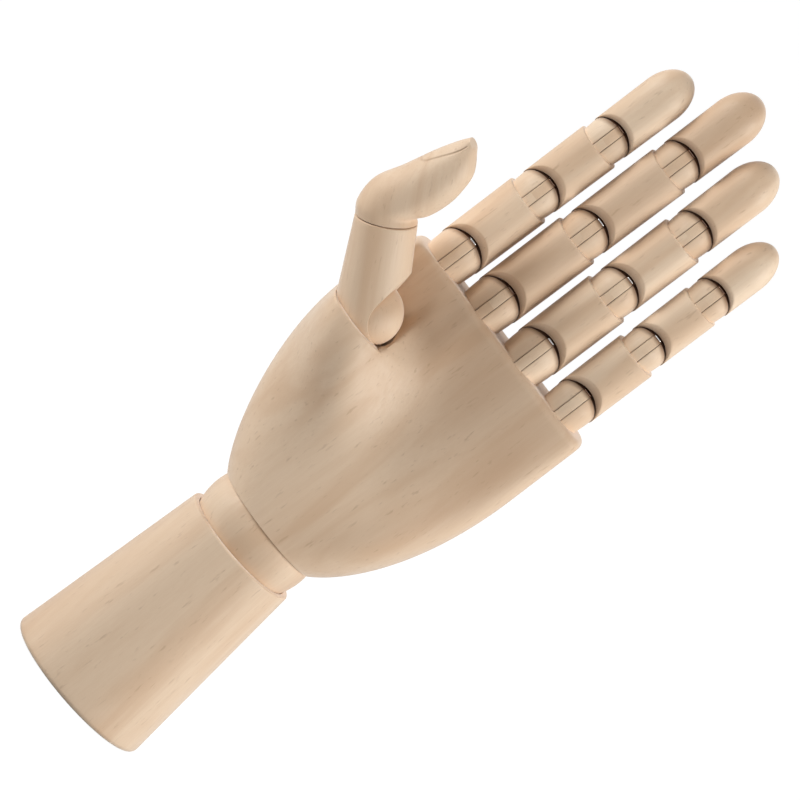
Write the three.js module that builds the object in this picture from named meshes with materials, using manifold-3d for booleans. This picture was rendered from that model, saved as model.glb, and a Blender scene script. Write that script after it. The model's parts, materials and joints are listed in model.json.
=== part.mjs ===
// An articulated wooden drawing hand: a left hand that stands on the flat end of its forearm.
// Millimetres. +Z runs from the forearm to the fingertips, the palm faces -Y, the thumb is at -X.
// Every finger joint is a slotted ball on the nearer piece, with a tongue of the farther piece
// turning in the slot on a steel cross pin. The thumb's joint is the other way round: its ball is
// glued into the thumb, and the tongue stands in a round seat of the palm's shoulder.
import * as THREE from "three";
import { mergeVertices } from "three/addons/utils/BufferGeometryUtils.js";
import Module from "manifold-3d";

const wasm = await Module();
wasm.setup();

// Fits
const RUN_GAP = 0.25; // between faces that move on each other
const SEAT_GAP = 0.2; // between faces that are glued or driven together
const PIN_GAP = 0.1; // round a cross pin

// Forearm
const FOREARM_HEIGHT = 61.5;
const FOREARM_BASE_RADIUS = 24;
const FOREARM_RIM_WALL = 1.8; // wood round the wrist seat at the top rim
const FOREARM_EDGE = 1.6; // rounding of the bottom edge
const FOREARM_RIM_EDGE = 0.5; // chamfer of the top rim

// Wrist
const WRIST_RADIUS = 18.2;
const WRIST_RISE = 6.2; // ball centre above the forearm's rim
const WRIST_LEAN = 3; // degrees that the hand leans towards the little finger
const WRIST_SWING = 25; // degrees that the palm tilts each way
const SPIGOT_RADIUS = 7;
const SPIGOT_LENGTH = 16; // below the ball
const WRIST_TONGUE_RADIUS = 9;
const WRIST_TONGUE_THICKNESS = 6;
const WRIST_SHANK_WIDTH = 9;
const WRIST_SHANK_DEPTH = 10; // into the palm
const WRIST_PIN_RADIUS = 2.5;
const WRIST_PIN_LENGTH = 26;

// Palm, measured from the wrist ball's centre
const PALM_RIM_HEIGHT = 3.9;
const PALM_RIM_WALL = 0.4; // thickness of the lower rim round the ball
const PALM_TOP = 87.5;
const PALM_TOP_EDGE = 2.5; // rounding of the knuckle edge
const PALM_LEFT_MARGIN = 10.4; // from the outer knuckles' centres to the sides
const PALM_RIGHT_MARGIN = 10.8;
const PALM_WIDEST_HEIGHT = 62;
const PALM_SHOULDER_FLARE = 3; // wider at the thumb's shoulder than at the knuckles
const PALM_KNUCKLE_FRONT = 9.2; // half depths at the knuckles
const PALM_KNUCKLE_BACK = 9.5;
const PALM_SQUARENESS = 2.6; // how far its oval section squares off towards the knuckles
const LEFT_FLARE = [9.8, 9]; // pull of the outline's curve at the rim, outwards and up
const RIGHT_FLARE = [8, 8];
const LEFT_BEND = 22; // length of the pull below the widest place
const RIGHT_BEND = 30;
const SHOULDER_HEIGHT = 62; // flat shoulder under the thumb
const THENAR = { depth: 17, width: 16, length: 24, slant: 0.5 }; // ball of the thumb
const HOLLOW = { depth: 2, x: 2, width: 16, z: 66, length: 18 };
const HEEL = { depth: 2.5, x: 22, width: 12, z: 30, length: 22 }; // swell below the little finger
const SIDE_FADE = 24; // power that brings these swells to nothing at the sides
const FULL_FADE = 40; // and how much greater it is on the thumb's side of the ridge
const FULL_LENGTH = 26; // how far below the shoulder that side is fuller
const FLOOR_DEPTH = 4.6; // recess above the shoulder, behind the thumb
const FLOOR_RISE = 0.165;
const FLOOR_REACH = 16; // from the thumb's ball to where the recess runs out
const FLOOR_TURN = 8; // rounding where it begins to run out
const FLOOR_BLEND = 3; // rounding where it meets the palm

// Fingers: place across the hand, lean in degrees, lengths from joint to joint, and diameters
const KNUCKLE_DROP = 5; // from a knuckle ball's centre down to the palm
const FINGERS = [
  { name: "index", x: -27.4, lean: 0.4, lengths: [27.9, 24.8, 28.6], diameters: [15.2, 14.2, 13.5] },
  { name: "middle", x: -10.5, lean: 0.4, lengths: [31.8, 32.2, 29.0], diameters: [15.6, 14.7, 14.1] },
  { name: "ring", x: 7.4, lean: 0, lengths: [28.4, 26.7, 29.3], diameters: [15.8, 14.8, 13.8] },
  { name: "little", x: 24.8, lean: 0, lengths: [25.3, 22.7, 22.9], diameters: [14.1, 12.9, 12.6] },
];
const LINK_NAMES = ["base_link", "mid_link", "tip"];
const JOINT_NAMES = ["knuckle", "mid", "end"];
const LINK_TAPER = 0.3; // a link is this much thinner at its nearer end
const LINK_EDGE = 0.4;
const LIP_WALL = 0.3; // wood of a link round the ball
const RIM_DROP = 3.5; // from a ball's centre down to the rim that carries it
const LIP_GAP = 0.5; // between the lip at the back and that rim
const LIP_RISE = 0.7; // height of the lip at the sides of the ball
const BEVELS = [50, 50, 39]; // degrees of the cut at the palm side of each joint
const COLLAR_TAPER = 0.35; // a ball is this much narrower at its rim than at its middle
const STEM_RADIUS = 3.5; // at least
const STEM_LENGTH = 6; // below the rim
const TONGUE_THICKNESS = 2.4;
const TONGUE_SHANK_WIDTH = 5;
const TONGUE_SHANK_DEPTH = 4; // into the link
const PIN_RADIUS = 1;
const PIN_COVER = 1; // wood over the pin's ends
const TIP_DOME = 10; // length of the rounded fingertip
const NAIL_LENGTH = 11;
const NAIL_DEPTH = 1.5;

// Thumb: place of its ball on the shoulder, then sizes along its own axis
const THUMB_INSET = 11.3; // from the palm's widest side
const THUMB_FORWARD = 16; // in front of the fingers
const THUMB_DROP = 3.6; // from the ball's centre down to the shoulder
const THUMB_SPREAD = 40; // degrees from the fingers' direction
const THUMB_LEAN = 12; // degrees forward of the palm
const THUMB_SWING = 45; // degrees that it closes over the palm
const THUMB_BALL_RADIUS = 9.4;
const THUMB_CUP_WALL = 0.5;
const THUMB_LENGTH = 27.2; // ball centre to the seam of the tip
const THUMB_SEAM_RADIUS = 8.8;
const THUMB_BEVEL = 59; // degrees
const THUMB_CUP_EDGE = 2.7; // the cup ends this far past the middle of the ball
const THUMB_STEM_RADIUS = 3;
const THUMB_TONGUE_RADIUS = 5;
const THUMB_TONGUE_THICKNESS = 3;
const THUMB_SHANK_WIDTH = 5;
const THUMB_SHANK_DEPTH = 5;
const THUMB_PIN_RADIUS = 1.5;
const THUMB_PIN_LENGTH = 15;
const DOWEL_RADIUS = 2.5;
const DOWEL_DEPTH = 7; // into each piece
// Outline of the bent thumb tip from its seam, nail side and pad side, [towards the palm, along]
const TIP_NAIL_SIDE = [
  [-8.8, 0], [-8.7, 4.5], [-5.2, 10.8], [2.2, 16.3], [9.9, 22.4], [16, 26.6], [19.6, 28.6],
];
const TIP_PAD_SIDE = [
  [8.8, 0], [8.4, 2.1], [12.2, 4], [16.6, 8.2], [19.6, 12.6], [22, 18.2], [21.8, 25.2],
];
const TIP_HALF_WIDTHS = [8.8, 8.8, 8.6, 8, 7.2, 5.6, 2.4];

// Facets
const ROUND = 18; // sides of the finger pieces
const QUARTER = 4; // steps of a quarter circle on the finger pieces
const BIG_QUARTER = 7; // and on the wrist
const PIN_SIDES = 10;
const BIG_ROUND = 32; // sides of the forearm, wrist and palm
const PALM_ROWS = 10; // rows of the palm below the shoulder
const ROW_CROWDING = 1.3; // power that crowds those rows at the wrist
const PALM_TOP_ROWS = 5; // rows of the palm above it
const SHOULDER_STEP = 0.02; // height of the step between the two
const FAR = 60; // past the end of any piece that is cut

const wood = new THREE.MeshStandardMaterial({ color: 0xd9bd9a, roughness: 0.5, metalness: 0 });
const darkWood = new THREE.MeshStandardMaterial({ color: 0xc9a982, roughness: 0.6, metalness: 0 });
const steel = new THREE.MeshStandardMaterial({ color: 0xb8babd, roughness: 0.35, metalness: 1 });

const radians = THREE.MathUtils.degToRad;

// A closed geometry as a solid for joining and cutting.
function solidOf(geometry) {
  const bare = new THREE.BufferGeometry();
  const loose = geometry.index ? geometry.toNonIndexed() : geometry;
  bare.setAttribute("position", loose.getAttribute("position"));
  const merged = mergeVertices(bare, 1e-4);
  const kept = [];
  const index = merged.index.array;
  for (let i = 0; i < index.length; i += 3) {
    const [a, b, c] = index.subarray(i, i + 3);
    if (a !== b && b !== c && a !== c) kept.push(a, b, c);
  }
  const vertProperties = merged.attributes.position.array;
  return new wasm.Manifold(new wasm.Mesh({ numProp: 3, vertProperties, triVerts: new Uint32Array(kept) }));
}

function geometryOf(solid) {
  const { vertProperties, triVerts } = solid.getMesh();
  const geometry = new THREE.BufferGeometry();
  geometry.setAttribute("position", new THREE.BufferAttribute(vertProperties, 3));
  geometry.setIndex(new THREE.BufferAttribute(triVerts, 1));
  geometry.computeVertexNormals();
  return geometry;
}

function cut(base, ...cutters) {
  return geometryOf(cutters.reduce((left, cutter) => left.subtract(solidOf(cutter)), solidOf(base)));
}

function join(base, ...others) {
  return geometryOf(others.reduce((sum, other) => sum.add(solidOf(other)), solidOf(base)));
}

// Points [radius, height] on a circle about [r, z], from one angle above the horizontal to another.
function arc(r, z, radius, from, to, steps = QUARTER) {
  return Array.from({ length: steps + 1 }, (_, i) => {
    const angle = radians(from + ((to - from) * i) / steps);
    return [Math.max(0, r + radius * Math.cos(angle)), z + radius * Math.sin(angle)];
  });
}

// A solid of revolution about Z from a profile of [radius, height], lowest point first.
function lathe(profile, sides = ROUND) {
  const points = profile.map(([r, z]) => new THREE.Vector2(r, z));
  return new THREE.LatheGeometry(points, sides).rotateX(Math.PI / 2);
}

function cylinder(radius, low, high, sides = ROUND) {
  return lathe([[0, low], [radius, low], [radius, high], [0, high]], sides);
}

function sphere(radius, sides = ROUND, quarter = QUARTER) {
  return lathe(arc(0, 0, radius, -90, 90, 2 * quarter), sides);
}

// A flat outline in the YZ plane, thickened along X.
function slabX(shape, thickness) {
  const toYZ = new THREE.Matrix4().makeBasis(
    new THREE.Vector3(0, 1, 0),
    new THREE.Vector3(0, 0, 1),
    new THREE.Vector3(1, 0, 0),
  );
  const settings = { depth: thickness, bevelEnabled: false, curveSegments: 2 * QUARTER };
  return new THREE.ExtrudeGeometry(shape, settings).translate(0, 0, -thickness / 2).applyMatrix4(toYZ);
}

// A flat outline in the XZ plane, thickened along Y.
function slabY(shape, thickness) {
  return slabX(shape, thickness).rotateZ(-Math.PI / 2);
}

function outline(points) {
  return new THREE.Shape(points.map(([u, v]) => new THREE.Vector2(u, v)));
}

function rectangle(halfWidth, low, high) {
  return outline([[-halfWidth, low], [halfWidth, low], [halfWidth, high], [-halfWidth, high]]);
}

// The space that a bar of the given half width sweeps as it swings between two angles from upright.
function fan(from, to, halfWidth, reach) {
  const along = (angle) => [Math.sin(radians(angle)) * reach, Math.cos(radians(angle)) * reach];
  const beside = (angle) => [Math.cos(radians(angle)) * halfWidth, -Math.sin(radians(angle)) * halfWidth];
  const [leftU, leftV] = beside(from);
  const [rightU, rightV] = beside(to);
  const [lowU, lowV] = along(from);
  const [highU, highV] = along(to);
  const [midU, midV] = along((from + to) / 2);
  const crest = 1 / Math.cos(radians((to - from) / 2));
  return outline([
    [-leftU, -leftV],
    [rightU, rightV],
    [highU + rightU, highV + rightV],
    [midU * crest, midV * crest],
    [lowU - leftU, lowV - leftV],
  ]);
}

// A disc with a straight shank that rises from it, and a hole for the pin.
function tongueShape(radius, halfShank, top, holeRadius) {
  const meet = Math.asin(halfShank / radius);
  const shape = new THREE.Shape();
  shape.moveTo(halfShank, top);
  shape.lineTo(-halfShank, top);
  shape.absarc(0, 0, radius, Math.PI / 2 + meet, Math.PI * 2.5 - meet, false);
  shape.closePath();
  const hole = new THREE.Path();
  hole.absarc(0, 0, holeRadius, 0, Math.PI * 2, true);
  shape.holes.push(hole);
  return shape;
}

// A skin over rings of points, each ring anticlockwise as seen from the last one, closed at both ends.
function loft(rings) {
  const count = rings[0].length;
  const middle = (ring) => [0, 1, 2].map((k) => ring.reduce((sum, p) => sum + p[k], 0) / count);
  const points = [...rings.flat(), middle(rings[0]), middle(rings.at(-1))];
  const first = points.length - 2;
  const last = points.length - 1;
  const index = [];
  for (let j = 0; j < count; j++) {
    const next = (j + 1) % count;
    const top = (rings.length - 1) * count;
    index.push(first, next, j, last, top + j, top + next);
    for (let i = 0; i < rings.length - 1; i++) {
      const [a, b] = [i * count + j, i * count + next];
      index.push(a, b, b + count, a, b + count, a + count);
    }
  }
  const geometry = new THREE.BufferGeometry();
  geometry.setAttribute("position", new THREE.Float32BufferAttribute(points.flat(), 3));
  geometry.setIndex(index);
  return geometry;
}

function piece(parent, name, geometry, material) {
  const mesh = new THREE.Mesh(geometry, material);
  mesh.name = name;
  parent.add(mesh);
}

// A group at a place in its parent.
function at(parent, x, y, z) {
  const group = new THREE.Group();
  group.position.set(x, y, z);
  parent.add(group);
  return group;
}

// Forearm and wrist

const wristHeight = FOREARM_HEIGHT + WRIST_RISE;
const wristSeat = WRIST_RADIUS + RUN_GAP;
const wristPocket = WRIST_TONGUE_THICKNESS + 2 * RUN_GAP;
const wristShankTop = wristSeat + WRIST_SHANK_DEPTH;
const forearmTop = Math.sqrt(wristSeat ** 2 - WRIST_RISE ** 2) + FOREARM_RIM_WALL;

function forearm() {
  const turned = lathe([
    [0, 0],
    ...arc(FOREARM_BASE_RADIUS - FOREARM_EDGE, FOREARM_EDGE, FOREARM_EDGE, -90, 0),
    [forearmTop, FOREARM_HEIGHT - FOREARM_RIM_EDGE],
    [forearmTop - FOREARM_RIM_EDGE, FOREARM_HEIGHT],
    [0, FOREARM_HEIGHT],
  ], BIG_ROUND);
  const seat = sphere(wristSeat, BIG_ROUND, BIG_QUARTER).translate(0, 0, wristHeight);
  const boreEnd = wristHeight - WRIST_RADIUS - SPIGOT_LENGTH - RUN_GAP;
  return cut(turned, seat, cylinder(SPIGOT_RADIUS + RUN_GAP, boreEnd, wristHeight));
}

function wristBall() {
  const end = -WRIST_RADIUS - SPIGOT_LENGTH;
  const meet = THREE.MathUtils.radToDeg(Math.acos(SPIGOT_RADIUS / WRIST_RADIUS));
  const turned = lathe([
    [0, end],
    [SPIGOT_RADIUS, end],
    ...arc(0, 0, WRIST_RADIUS, -meet, 90, 2 * BIG_QUARTER),
  ], BIG_ROUND);
  const halfShank = WRIST_SHANK_WIDTH / 2 + RUN_GAP;
  const swing = slabX(fan(-WRIST_SWING, WRIST_SWING, halfShank, WRIST_RADIUS + RUN_GAP), wristPocket);
  const disc = cylinder(WRIST_TONGUE_RADIUS + RUN_GAP, -wristPocket / 2, wristPocket / 2);
  const pinHole = crossPin(WRIST_PIN_RADIUS + PIN_GAP, WRIST_PIN_LENGTH + 2 * SEAT_GAP);
  const slot = join(swing, disc.rotateY(Math.PI / 2), pinHole).rotateY(radians(WRIST_LEAN));
  return cut(turned, slot);
}

function wristTongue() {
  const hole = WRIST_PIN_RADIUS + PIN_GAP;
  const shape = tongueShape(WRIST_TONGUE_RADIUS, WRIST_SHANK_WIDTH / 2, wristShankTop, hole);
  return slabX(shape, WRIST_TONGUE_THICKNESS);
}

function crossPin(radius, length) {
  return cylinder(radius, -length / 2, length / 2, PIN_SIDES).rotateY(Math.PI / 2);
}

// Palm

const knuckleHeight = PALM_TOP + KNUCKLE_DROP;
const palmLeftTop = FINGERS[0].x - PALM_LEFT_MARGIN;
const palmLeft = palmLeftTop - PALM_SHOULDER_FLARE;
const palmRight = FINGERS.at(-1).x + PALM_RIGHT_MARGIN;
const thumbX = palmLeft + THUMB_INSET;
const thumbPlace = [thumbX, -THUMB_FORWARD, SHOULDER_HEIGHT + THUMB_DROP];

// Where an edge of the palm's front outline lies at a height.
function edgeAt(curve, height) {
  let low = 0;
  let high = 1;
  for (let i = 0; i < 30; i++) {
    const middle = (low + high) / 2;
    if (curve.getPoint(middle).y < height) low = middle;
    else high = middle;
  }
  return curve.getPoint(low).x;
}

const rimRadius = Math.sqrt(wristSeat ** 2 - PALM_RIM_HEIGHT ** 2) + PALM_RIM_WALL;
const leftEdge = new THREE.CubicBezierCurve(
  new THREE.Vector2(-rimRadius, PALM_RIM_HEIGHT),
  new THREE.Vector2(-rimRadius - LEFT_FLARE[0], PALM_RIM_HEIGHT + LEFT_FLARE[1]),
  new THREE.Vector2(palmLeft, PALM_WIDEST_HEIGHT - LEFT_BEND),
  new THREE.Vector2(palmLeft, PALM_WIDEST_HEIGHT),
);
const rightEdge = new THREE.CubicBezierCurve(
  new THREE.Vector2(rimRadius, PALM_RIM_HEIGHT),
  new THREE.Vector2(rimRadius + RIGHT_FLARE[0], PALM_RIM_HEIGHT + RIGHT_FLARE[1]),
  new THREE.Vector2(palmRight, PALM_WIDEST_HEIGHT - RIGHT_BEND),
  new THREE.Vector2(palmRight, PALM_WIDEST_HEIGHT),
);

// The lesser of two values, rounded where they cross.
function smoothMin(a, b, blend) {
  return (a + b - Math.hypot(a - b, blend)) / 2;
}

// A rounded swell about a place on the palm's front.
function bump(swell, fromX, fromZ) {
  return swell.depth * Math.exp(-((fromX / swell.width) ** 2) - (fromZ / swell.length) ** 2);
}

// How much deeper the palm's front is than its plain oval, before the recess behind the thumb.
function palmSwell(x, z, side) {
  const fromRidge = x - thumbX - THENAR.slant * (SHOULDER_HEIGHT - z);
  const full = fromRidge < 0 ? Math.exp(-(((z - SHOULDER_HEIGHT) / FULL_LENGTH) ** 2)) : 0;
  const fuller = fromRidge * (1 - full + (full * Math.abs(fromRidge)) / THENAR.width);
  const thenar = bump(THENAR, fuller, z - SHOULDER_HEIGHT);
  const heel = bump(HEEL, x - HEEL.x, z - HEEL.z);
  const hollow = bump(HOLLOW, x - HOLLOW.x, z - HOLLOW.z);
  return (thenar + heel - hollow) * (1 - Math.abs(side) ** (SIDE_FADE + FULL_FADE * full));
}

// One ring of the palm at a height, rounded off near the knuckles by the inset.
function palmRing(z, inset, recessed) {
  const share = THREE.MathUtils.smoothstep(z, PALM_RIM_HEIGHT, PALM_TOP);
  const above = Math.max(0, z - PALM_WIDEST_HEIGHT) / (PALM_TOP - PALM_WIDEST_HEIGHT);
  const left = edgeAt(leftEdge, z) + PALM_SHOULDER_FLARE * above + inset;
  const right = edgeAt(rightEdge, z) - inset;
  const power = 2 + PALM_SQUARENESS * share;
  const front = THREE.MathUtils.lerp(rimRadius, PALM_KNUCKLE_FRONT, share) - inset;
  const back = THREE.MathUtils.lerp(rimRadius, PALM_KNUCKLE_BACK, share) - inset;
  return Array.from({ length: BIG_ROUND }, (_, i) => {
    const angle = (2 * Math.PI * i) / BIG_ROUND;
    const side = Math.cos(angle);
    const x = (left + right) / 2 + ((right - left) / 2) * side;
    const round = Math.max(0, 1 - Math.abs(side) ** power) ** (1 / power);
    if (Math.sin(angle) >= 0) return [x, back * round, z];
    const depth = front * round + palmSwell(x, z, side);
    const pastFloor = -smoothMin(0, thumbX + FLOOR_REACH - x, FLOOR_TURN);
    const floor = FLOOR_DEPTH + FLOOR_RISE * (z - SHOULDER_HEIGHT) + pastFloor;
    return [x, -(recessed ? smoothMin(depth, floor, FLOOR_BLEND) : depth), z];
  });
}

function palmBlock() {
  const rings = [];
  for (let i = 0; i < PALM_ROWS; i++) {
    const share = (i / PALM_ROWS) ** ROW_CROWDING;
    rings.push(palmRing(THREE.MathUtils.lerp(PALM_RIM_HEIGHT, SHOULDER_HEIGHT, share), 0, false));
  }
  rings.push(palmRing(SHOULDER_HEIGHT - SHOULDER_STEP, 0, false));
  const edgeStart = PALM_TOP - PALM_TOP_EDGE;
  for (let i = 0; i < PALM_TOP_ROWS; i++) {
    const z = THREE.MathUtils.lerp(SHOULDER_HEIGHT, edgeStart, i / PALM_TOP_ROWS);
    rings.push(palmRing(z, 0, true));
  }
  for (const [inset, z] of arc(0, edgeStart, PALM_TOP_EDGE, 0, 90)) {
    rings.push(palmRing(z, PALM_TOP_EDGE - inset, true));
  }
  return loft(rings);
}

function palm() {
  const seat = sphere(wristSeat, BIG_ROUND, BIG_QUARTER);
  const thickness = WRIST_TONGUE_THICKNESS + 2 * SEAT_GAP;
  const mortiseTop = wristShankTop + SEAT_GAP;
  const mortise = slabX(rectangle(WRIST_SHANK_WIDTH / 2 + SEAT_GAP, 0, mortiseTop), thickness);
  const stemHoles = FINGERS.map((finger) => {
    const hole = stemHole(ballRadius(finger, 0), KNUCKLE_DROP).rotateY(radians(finger.lean));
    return hole.translate(finger.x, 0, knuckleHeight);
  });
  const thumbSpace = join(lathe(thumbProfile(RUN_GAP, BIG_QUARTER), BIG_ROUND), thumbMortise());
  thumbSpace.applyQuaternion(thumbToHand).translate(...thumbPlace);
  return cut(palmBlock(), seat, mortise, ...stemHoles, thumbSpace);
}

// Finger joints and links, each about its ball's centre with the finger along +Z

function linkRadii(finger, i) {
  const far = finger.diameters[i] / 2;
  return { near: far - LINK_TAPER / 2, far };
}

function ballRadius(finger, i) {
  return linkRadii(finger, i).near - LIP_WALL - RUN_GAP;
}

// The stem is as wide as the ball is at its rim, so that its hole clears the tongue in the slot.
function stemRadius(radius, drop) {
  return Math.sqrt(Math.max(STEM_RADIUS ** 2, radius ** 2 - drop ** 2));
}

// Hole for a ball's stem, below a rim that lies the given drop under the ball's centre.
function stemHole(radius, drop) {
  return cylinder(stemRadius(radius, drop) + SEAT_GAP, -drop - STEM_LENGTH - SEAT_GAP, 0);
}

function ball(radius, drop) {
  const stem = stemRadius(radius, drop);
  const turned = lathe([
    [0, -drop - STEM_LENGTH],
    [stem, -drop - STEM_LENGTH],
    [stem, SEAT_GAP - drop],
    [radius - COLLAR_TAPER, SEAT_GAP - drop],
    ...arc(0, 0, radius, 0, 90),
  ]);
  const slot = slabX(rectangle(FAR, -radius - RUN_GAP, FAR), TONGUE_THICKNESS + 2 * SEAT_GAP);
  const hole = crossPin(PIN_RADIUS + PIN_GAP, 2 * (radius - PIN_COVER));
  return cut(turned, slot, hole);
}

function tongue(radius) {
  const top = radius + RUN_GAP + TONGUE_SHANK_DEPTH;
  const shape = tongueShape(radius - RUN_GAP, TONGUE_SHANK_WIDTH / 2, top, PIN_RADIUS + PIN_GAP);
  return slabX(shape, TONGUE_THICKNESS);
}

// What is cut from a link so that it goes over its ball: the socket, the slanted end and the mortise.
function jointCuts(radius, near, bevel, drop) {
  const socketRadius = radius + RUN_GAP;
  const socket = lathe([[0, -FAR], [socketRadius, -FAR], ...arc(0, 0, socketRadius, 0, 90)]);
  const lipSlope = (LIP_RISE + drop - LIP_GAP) / near;
  const end = slabX(outline([
    [-FAR, -FAR],
    [FAR, -FAR],
    [FAR, LIP_RISE - lipSlope * FAR],
    [0, LIP_RISE],
    [-FAR, LIP_RISE + Math.tan(radians(bevel)) * FAR],
  ]), FAR);
  const top = socketRadius + TONGUE_SHANK_DEPTH + SEAT_GAP;
  const mortiseShape = rectangle(TONGUE_SHANK_WIDTH / 2 + SEAT_GAP, 0, top);
  return [socket, end, slabX(mortiseShape, TONGUE_THICKNESS + 2 * SEAT_GAP)];
}

function link(finger, i, drop) {
  const { near, far } = linkRadii(finger, i);
  const rim = finger.lengths[i] - RIM_DROP;
  const turned = lathe([[0, -drop], [near, -drop], [far, rim - LINK_EDGE], [far - LINK_EDGE, rim], [0, rim]]);
  const hole = stemHole(ballRadius(finger, i + 1), RIM_DROP).translate(0, 0, finger.lengths[i]);
  return cut(turned, ...jointCuts(ballRadius(finger, i), near, BEVELS[i], drop), hole);
}

function fingertip(finger, i, drop) {
  const { near, far } = linkRadii(finger, i);
  const length = finger.lengths[i];
  const dome = arc(0, 0, 1, 0, 90, QUARTER + 1).map(([r, z]) => [far * r, length + TIP_DOME * (z - 1)]);
  const turned = lathe([[0, -drop], [near, -drop], ...dome]);
  const nail = slabX(outline([
    [far, length - NAIL_LENGTH],
    [FAR, length - NAIL_LENGTH],
    [FAR, length],
    [far - NAIL_DEPTH, length],
  ]), FAR);
  return cut(turned, ...jointCuts(ballRadius(finger, i), near, BEVELS[i], drop), nail);
}

function addFinger(hand, finger) {
  let joint = at(hand, finger.x, 0, knuckleHeight);
  joint.rotation.y = radians(finger.lean);
  LINK_NAMES.forEach((linkName, i) => {
    const drop = i === 0 ? KNUCKLE_DROP : RIM_DROP;
    const radius = ballRadius(finger, i);
    const jointName = `${finger.name}_${JOINT_NAMES[i]}`;
    piece(joint, `${jointName}_ball`, ball(radius, drop), wood);
    piece(joint, `${jointName}_pin`, crossPin(PIN_RADIUS, 2 * (radius - PIN_COVER - SEAT_GAP)), steel);
    piece(joint, `${jointName}_tongue`, tongue(radius), darkWood);
    const made = i < 2 ? link(finger, i, drop) : fingertip(finger, i, drop);
    piece(joint, `${finger.name}_${linkName}`, made, wood);
    joint = at(joint, 0, 0, finger.lengths[i]);
  });
}

// Thumb, about its ball's centre with the thumb along +Z and the palm towards +X

const thumbSocket = THUMB_BALL_RADIUS + SEAT_GAP;
const thumbCup = thumbSocket + THUMB_CUP_WALL;
const thumbTurn = new THREE.Euler(radians(THUMB_LEAN), radians(-THUMB_SPREAD), 0, "XYZ");
const thumbToHand = new THREE.Quaternion().setFromEuler(thumbTurn);
const thumbFoot = radians(180 + THUMB_SPREAD); // direction of the tongue's shank, from the thumb's axis
const thumbShankEnd = thumbCup + RUN_GAP + THUMB_SHANK_DEPTH;

// Outer shape of the thumb's lower piece, a round cup that narrows to the seam, grown by a gap.
function thumbProfile(gap, quarter) {
  const end = THUMB_LENGTH + gap;
  return [...arc(0, 0, thumbCup + gap, -90, 0, quarter), [THUMB_SEAM_RADIUS + gap, end], [0, end]];
}

function thumbPin(radius, length) {
  return cylinder(radius, -length / 2, length / 2, PIN_SIDES).rotateX(Math.PI / 2);
}

// The space that the tongue takes as the thumb swings, in the ball and in the cup round it.
function thumbSlot() {
  const rest = 180 + THUMB_SPREAD;
  const thickness = THUMB_TONGUE_THICKNESS + 2 * RUN_GAP;
  const swing = fan(rest - THUMB_SWING, rest, THUMB_SHANK_WIDTH / 2 + RUN_GAP, thumbCup + RUN_GAP);
  const disc = cylinder(THUMB_TONGUE_RADIUS + RUN_GAP, -thickness / 2, thickness / 2);
  return join(slabY(swing, thickness), disc.rotateX(Math.PI / 2));
}

function thumbStem(gap) {
  return cylinder(THUMB_STEM_RADIUS + gap, THUMB_TONGUE_RADIUS, thumbSocket + STEM_LENGTH + gap);
}

function thumbBall() {
  const hole = thumbPin(THUMB_PIN_RADIUS + PIN_GAP, THUMB_PIN_LENGTH + 2 * SEAT_GAP);
  const turned = join(sphere(THUMB_BALL_RADIUS, BIG_ROUND, BIG_QUARTER), thumbStem(0));
  return cut(turned, thumbSlot(), hole);
}

function thumbTongue() {
  const hole = THUMB_PIN_RADIUS + PIN_GAP;
  const shape = tongueShape(THUMB_TONGUE_RADIUS, THUMB_SHANK_WIDTH / 2, thumbShankEnd, hole);
  return slabY(shape, THUMB_TONGUE_THICKNESS).rotateY(thumbFoot);
}

function thumbMortise() {
  const hole = rectangle(THUMB_SHANK_WIDTH / 2 + SEAT_GAP, 0, thumbShankEnd + SEAT_GAP);
  return slabY(hole, THUMB_TONGUE_THICKNESS + 2 * SEAT_GAP).rotateY(thumbFoot);
}

function thumbLink() {
  const open = slabY(outline([
    [THUMB_CUP_EDGE, -FAR],
    [FAR, -FAR],
    [FAR, LIP_RISE + Math.tan(radians(THUMB_BEVEL)) * (FAR - THUMB_CUP_EDGE)],
    [THUMB_CUP_EDGE, LIP_RISE],
  ]), FAR);
  const dowelHole = cylinder(DOWEL_RADIUS + SEAT_GAP, THUMB_LENGTH - DOWEL_DEPTH - SEAT_GAP, FAR);
  const socket = sphere(thumbSocket, BIG_ROUND, BIG_QUARTER);
  return cut(lathe(thumbProfile(0, QUARTER)), socket, open, thumbSlot(), thumbStem(SEAT_GAP), dowelHole);
}

// The bent tip is a row of ovals across its outline, from the seam to the end of the nail.
function thumbTip() {
  const curve = (points) => new THREE.CatmullRomCurve3(points.map(([u, v]) => new THREE.Vector3(u, 0, v)));
  const nailSide = curve(TIP_NAIL_SIDE);
  const padSide = curve(TIP_PAD_SIDE);
  const widths = curve(TIP_HALF_WIDTHS.map((width) => [width, 0]));
  const rows = 2 * (TIP_HALF_WIDTHS.length - 1);
  const rings = Array.from({ length: rows + 1 }, (_, row) => {
    const share = row / rows;
    const nail = nailSide.getPoint(share);
    const pad = padSide.getPoint(share);
    const width = widths.getPoint(share).x;
    return Array.from({ length: ROUND }, (_, i) => {
      const angle = (2 * Math.PI * i) / ROUND;
      const point = nail.clone().lerp(pad, (1 + Math.cos(angle)) / 2);
      return [point.x, width * Math.sin(angle), point.z];
    });
  });
  const dowelHole = cylinder(DOWEL_RADIUS + RUN_GAP, -DOWEL_DEPTH, DOWEL_DEPTH + SEAT_GAP);
  return cut(loft(rings), dowelHole).translate(0, 0, THUMB_LENGTH + RUN_GAP);
}

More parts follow.
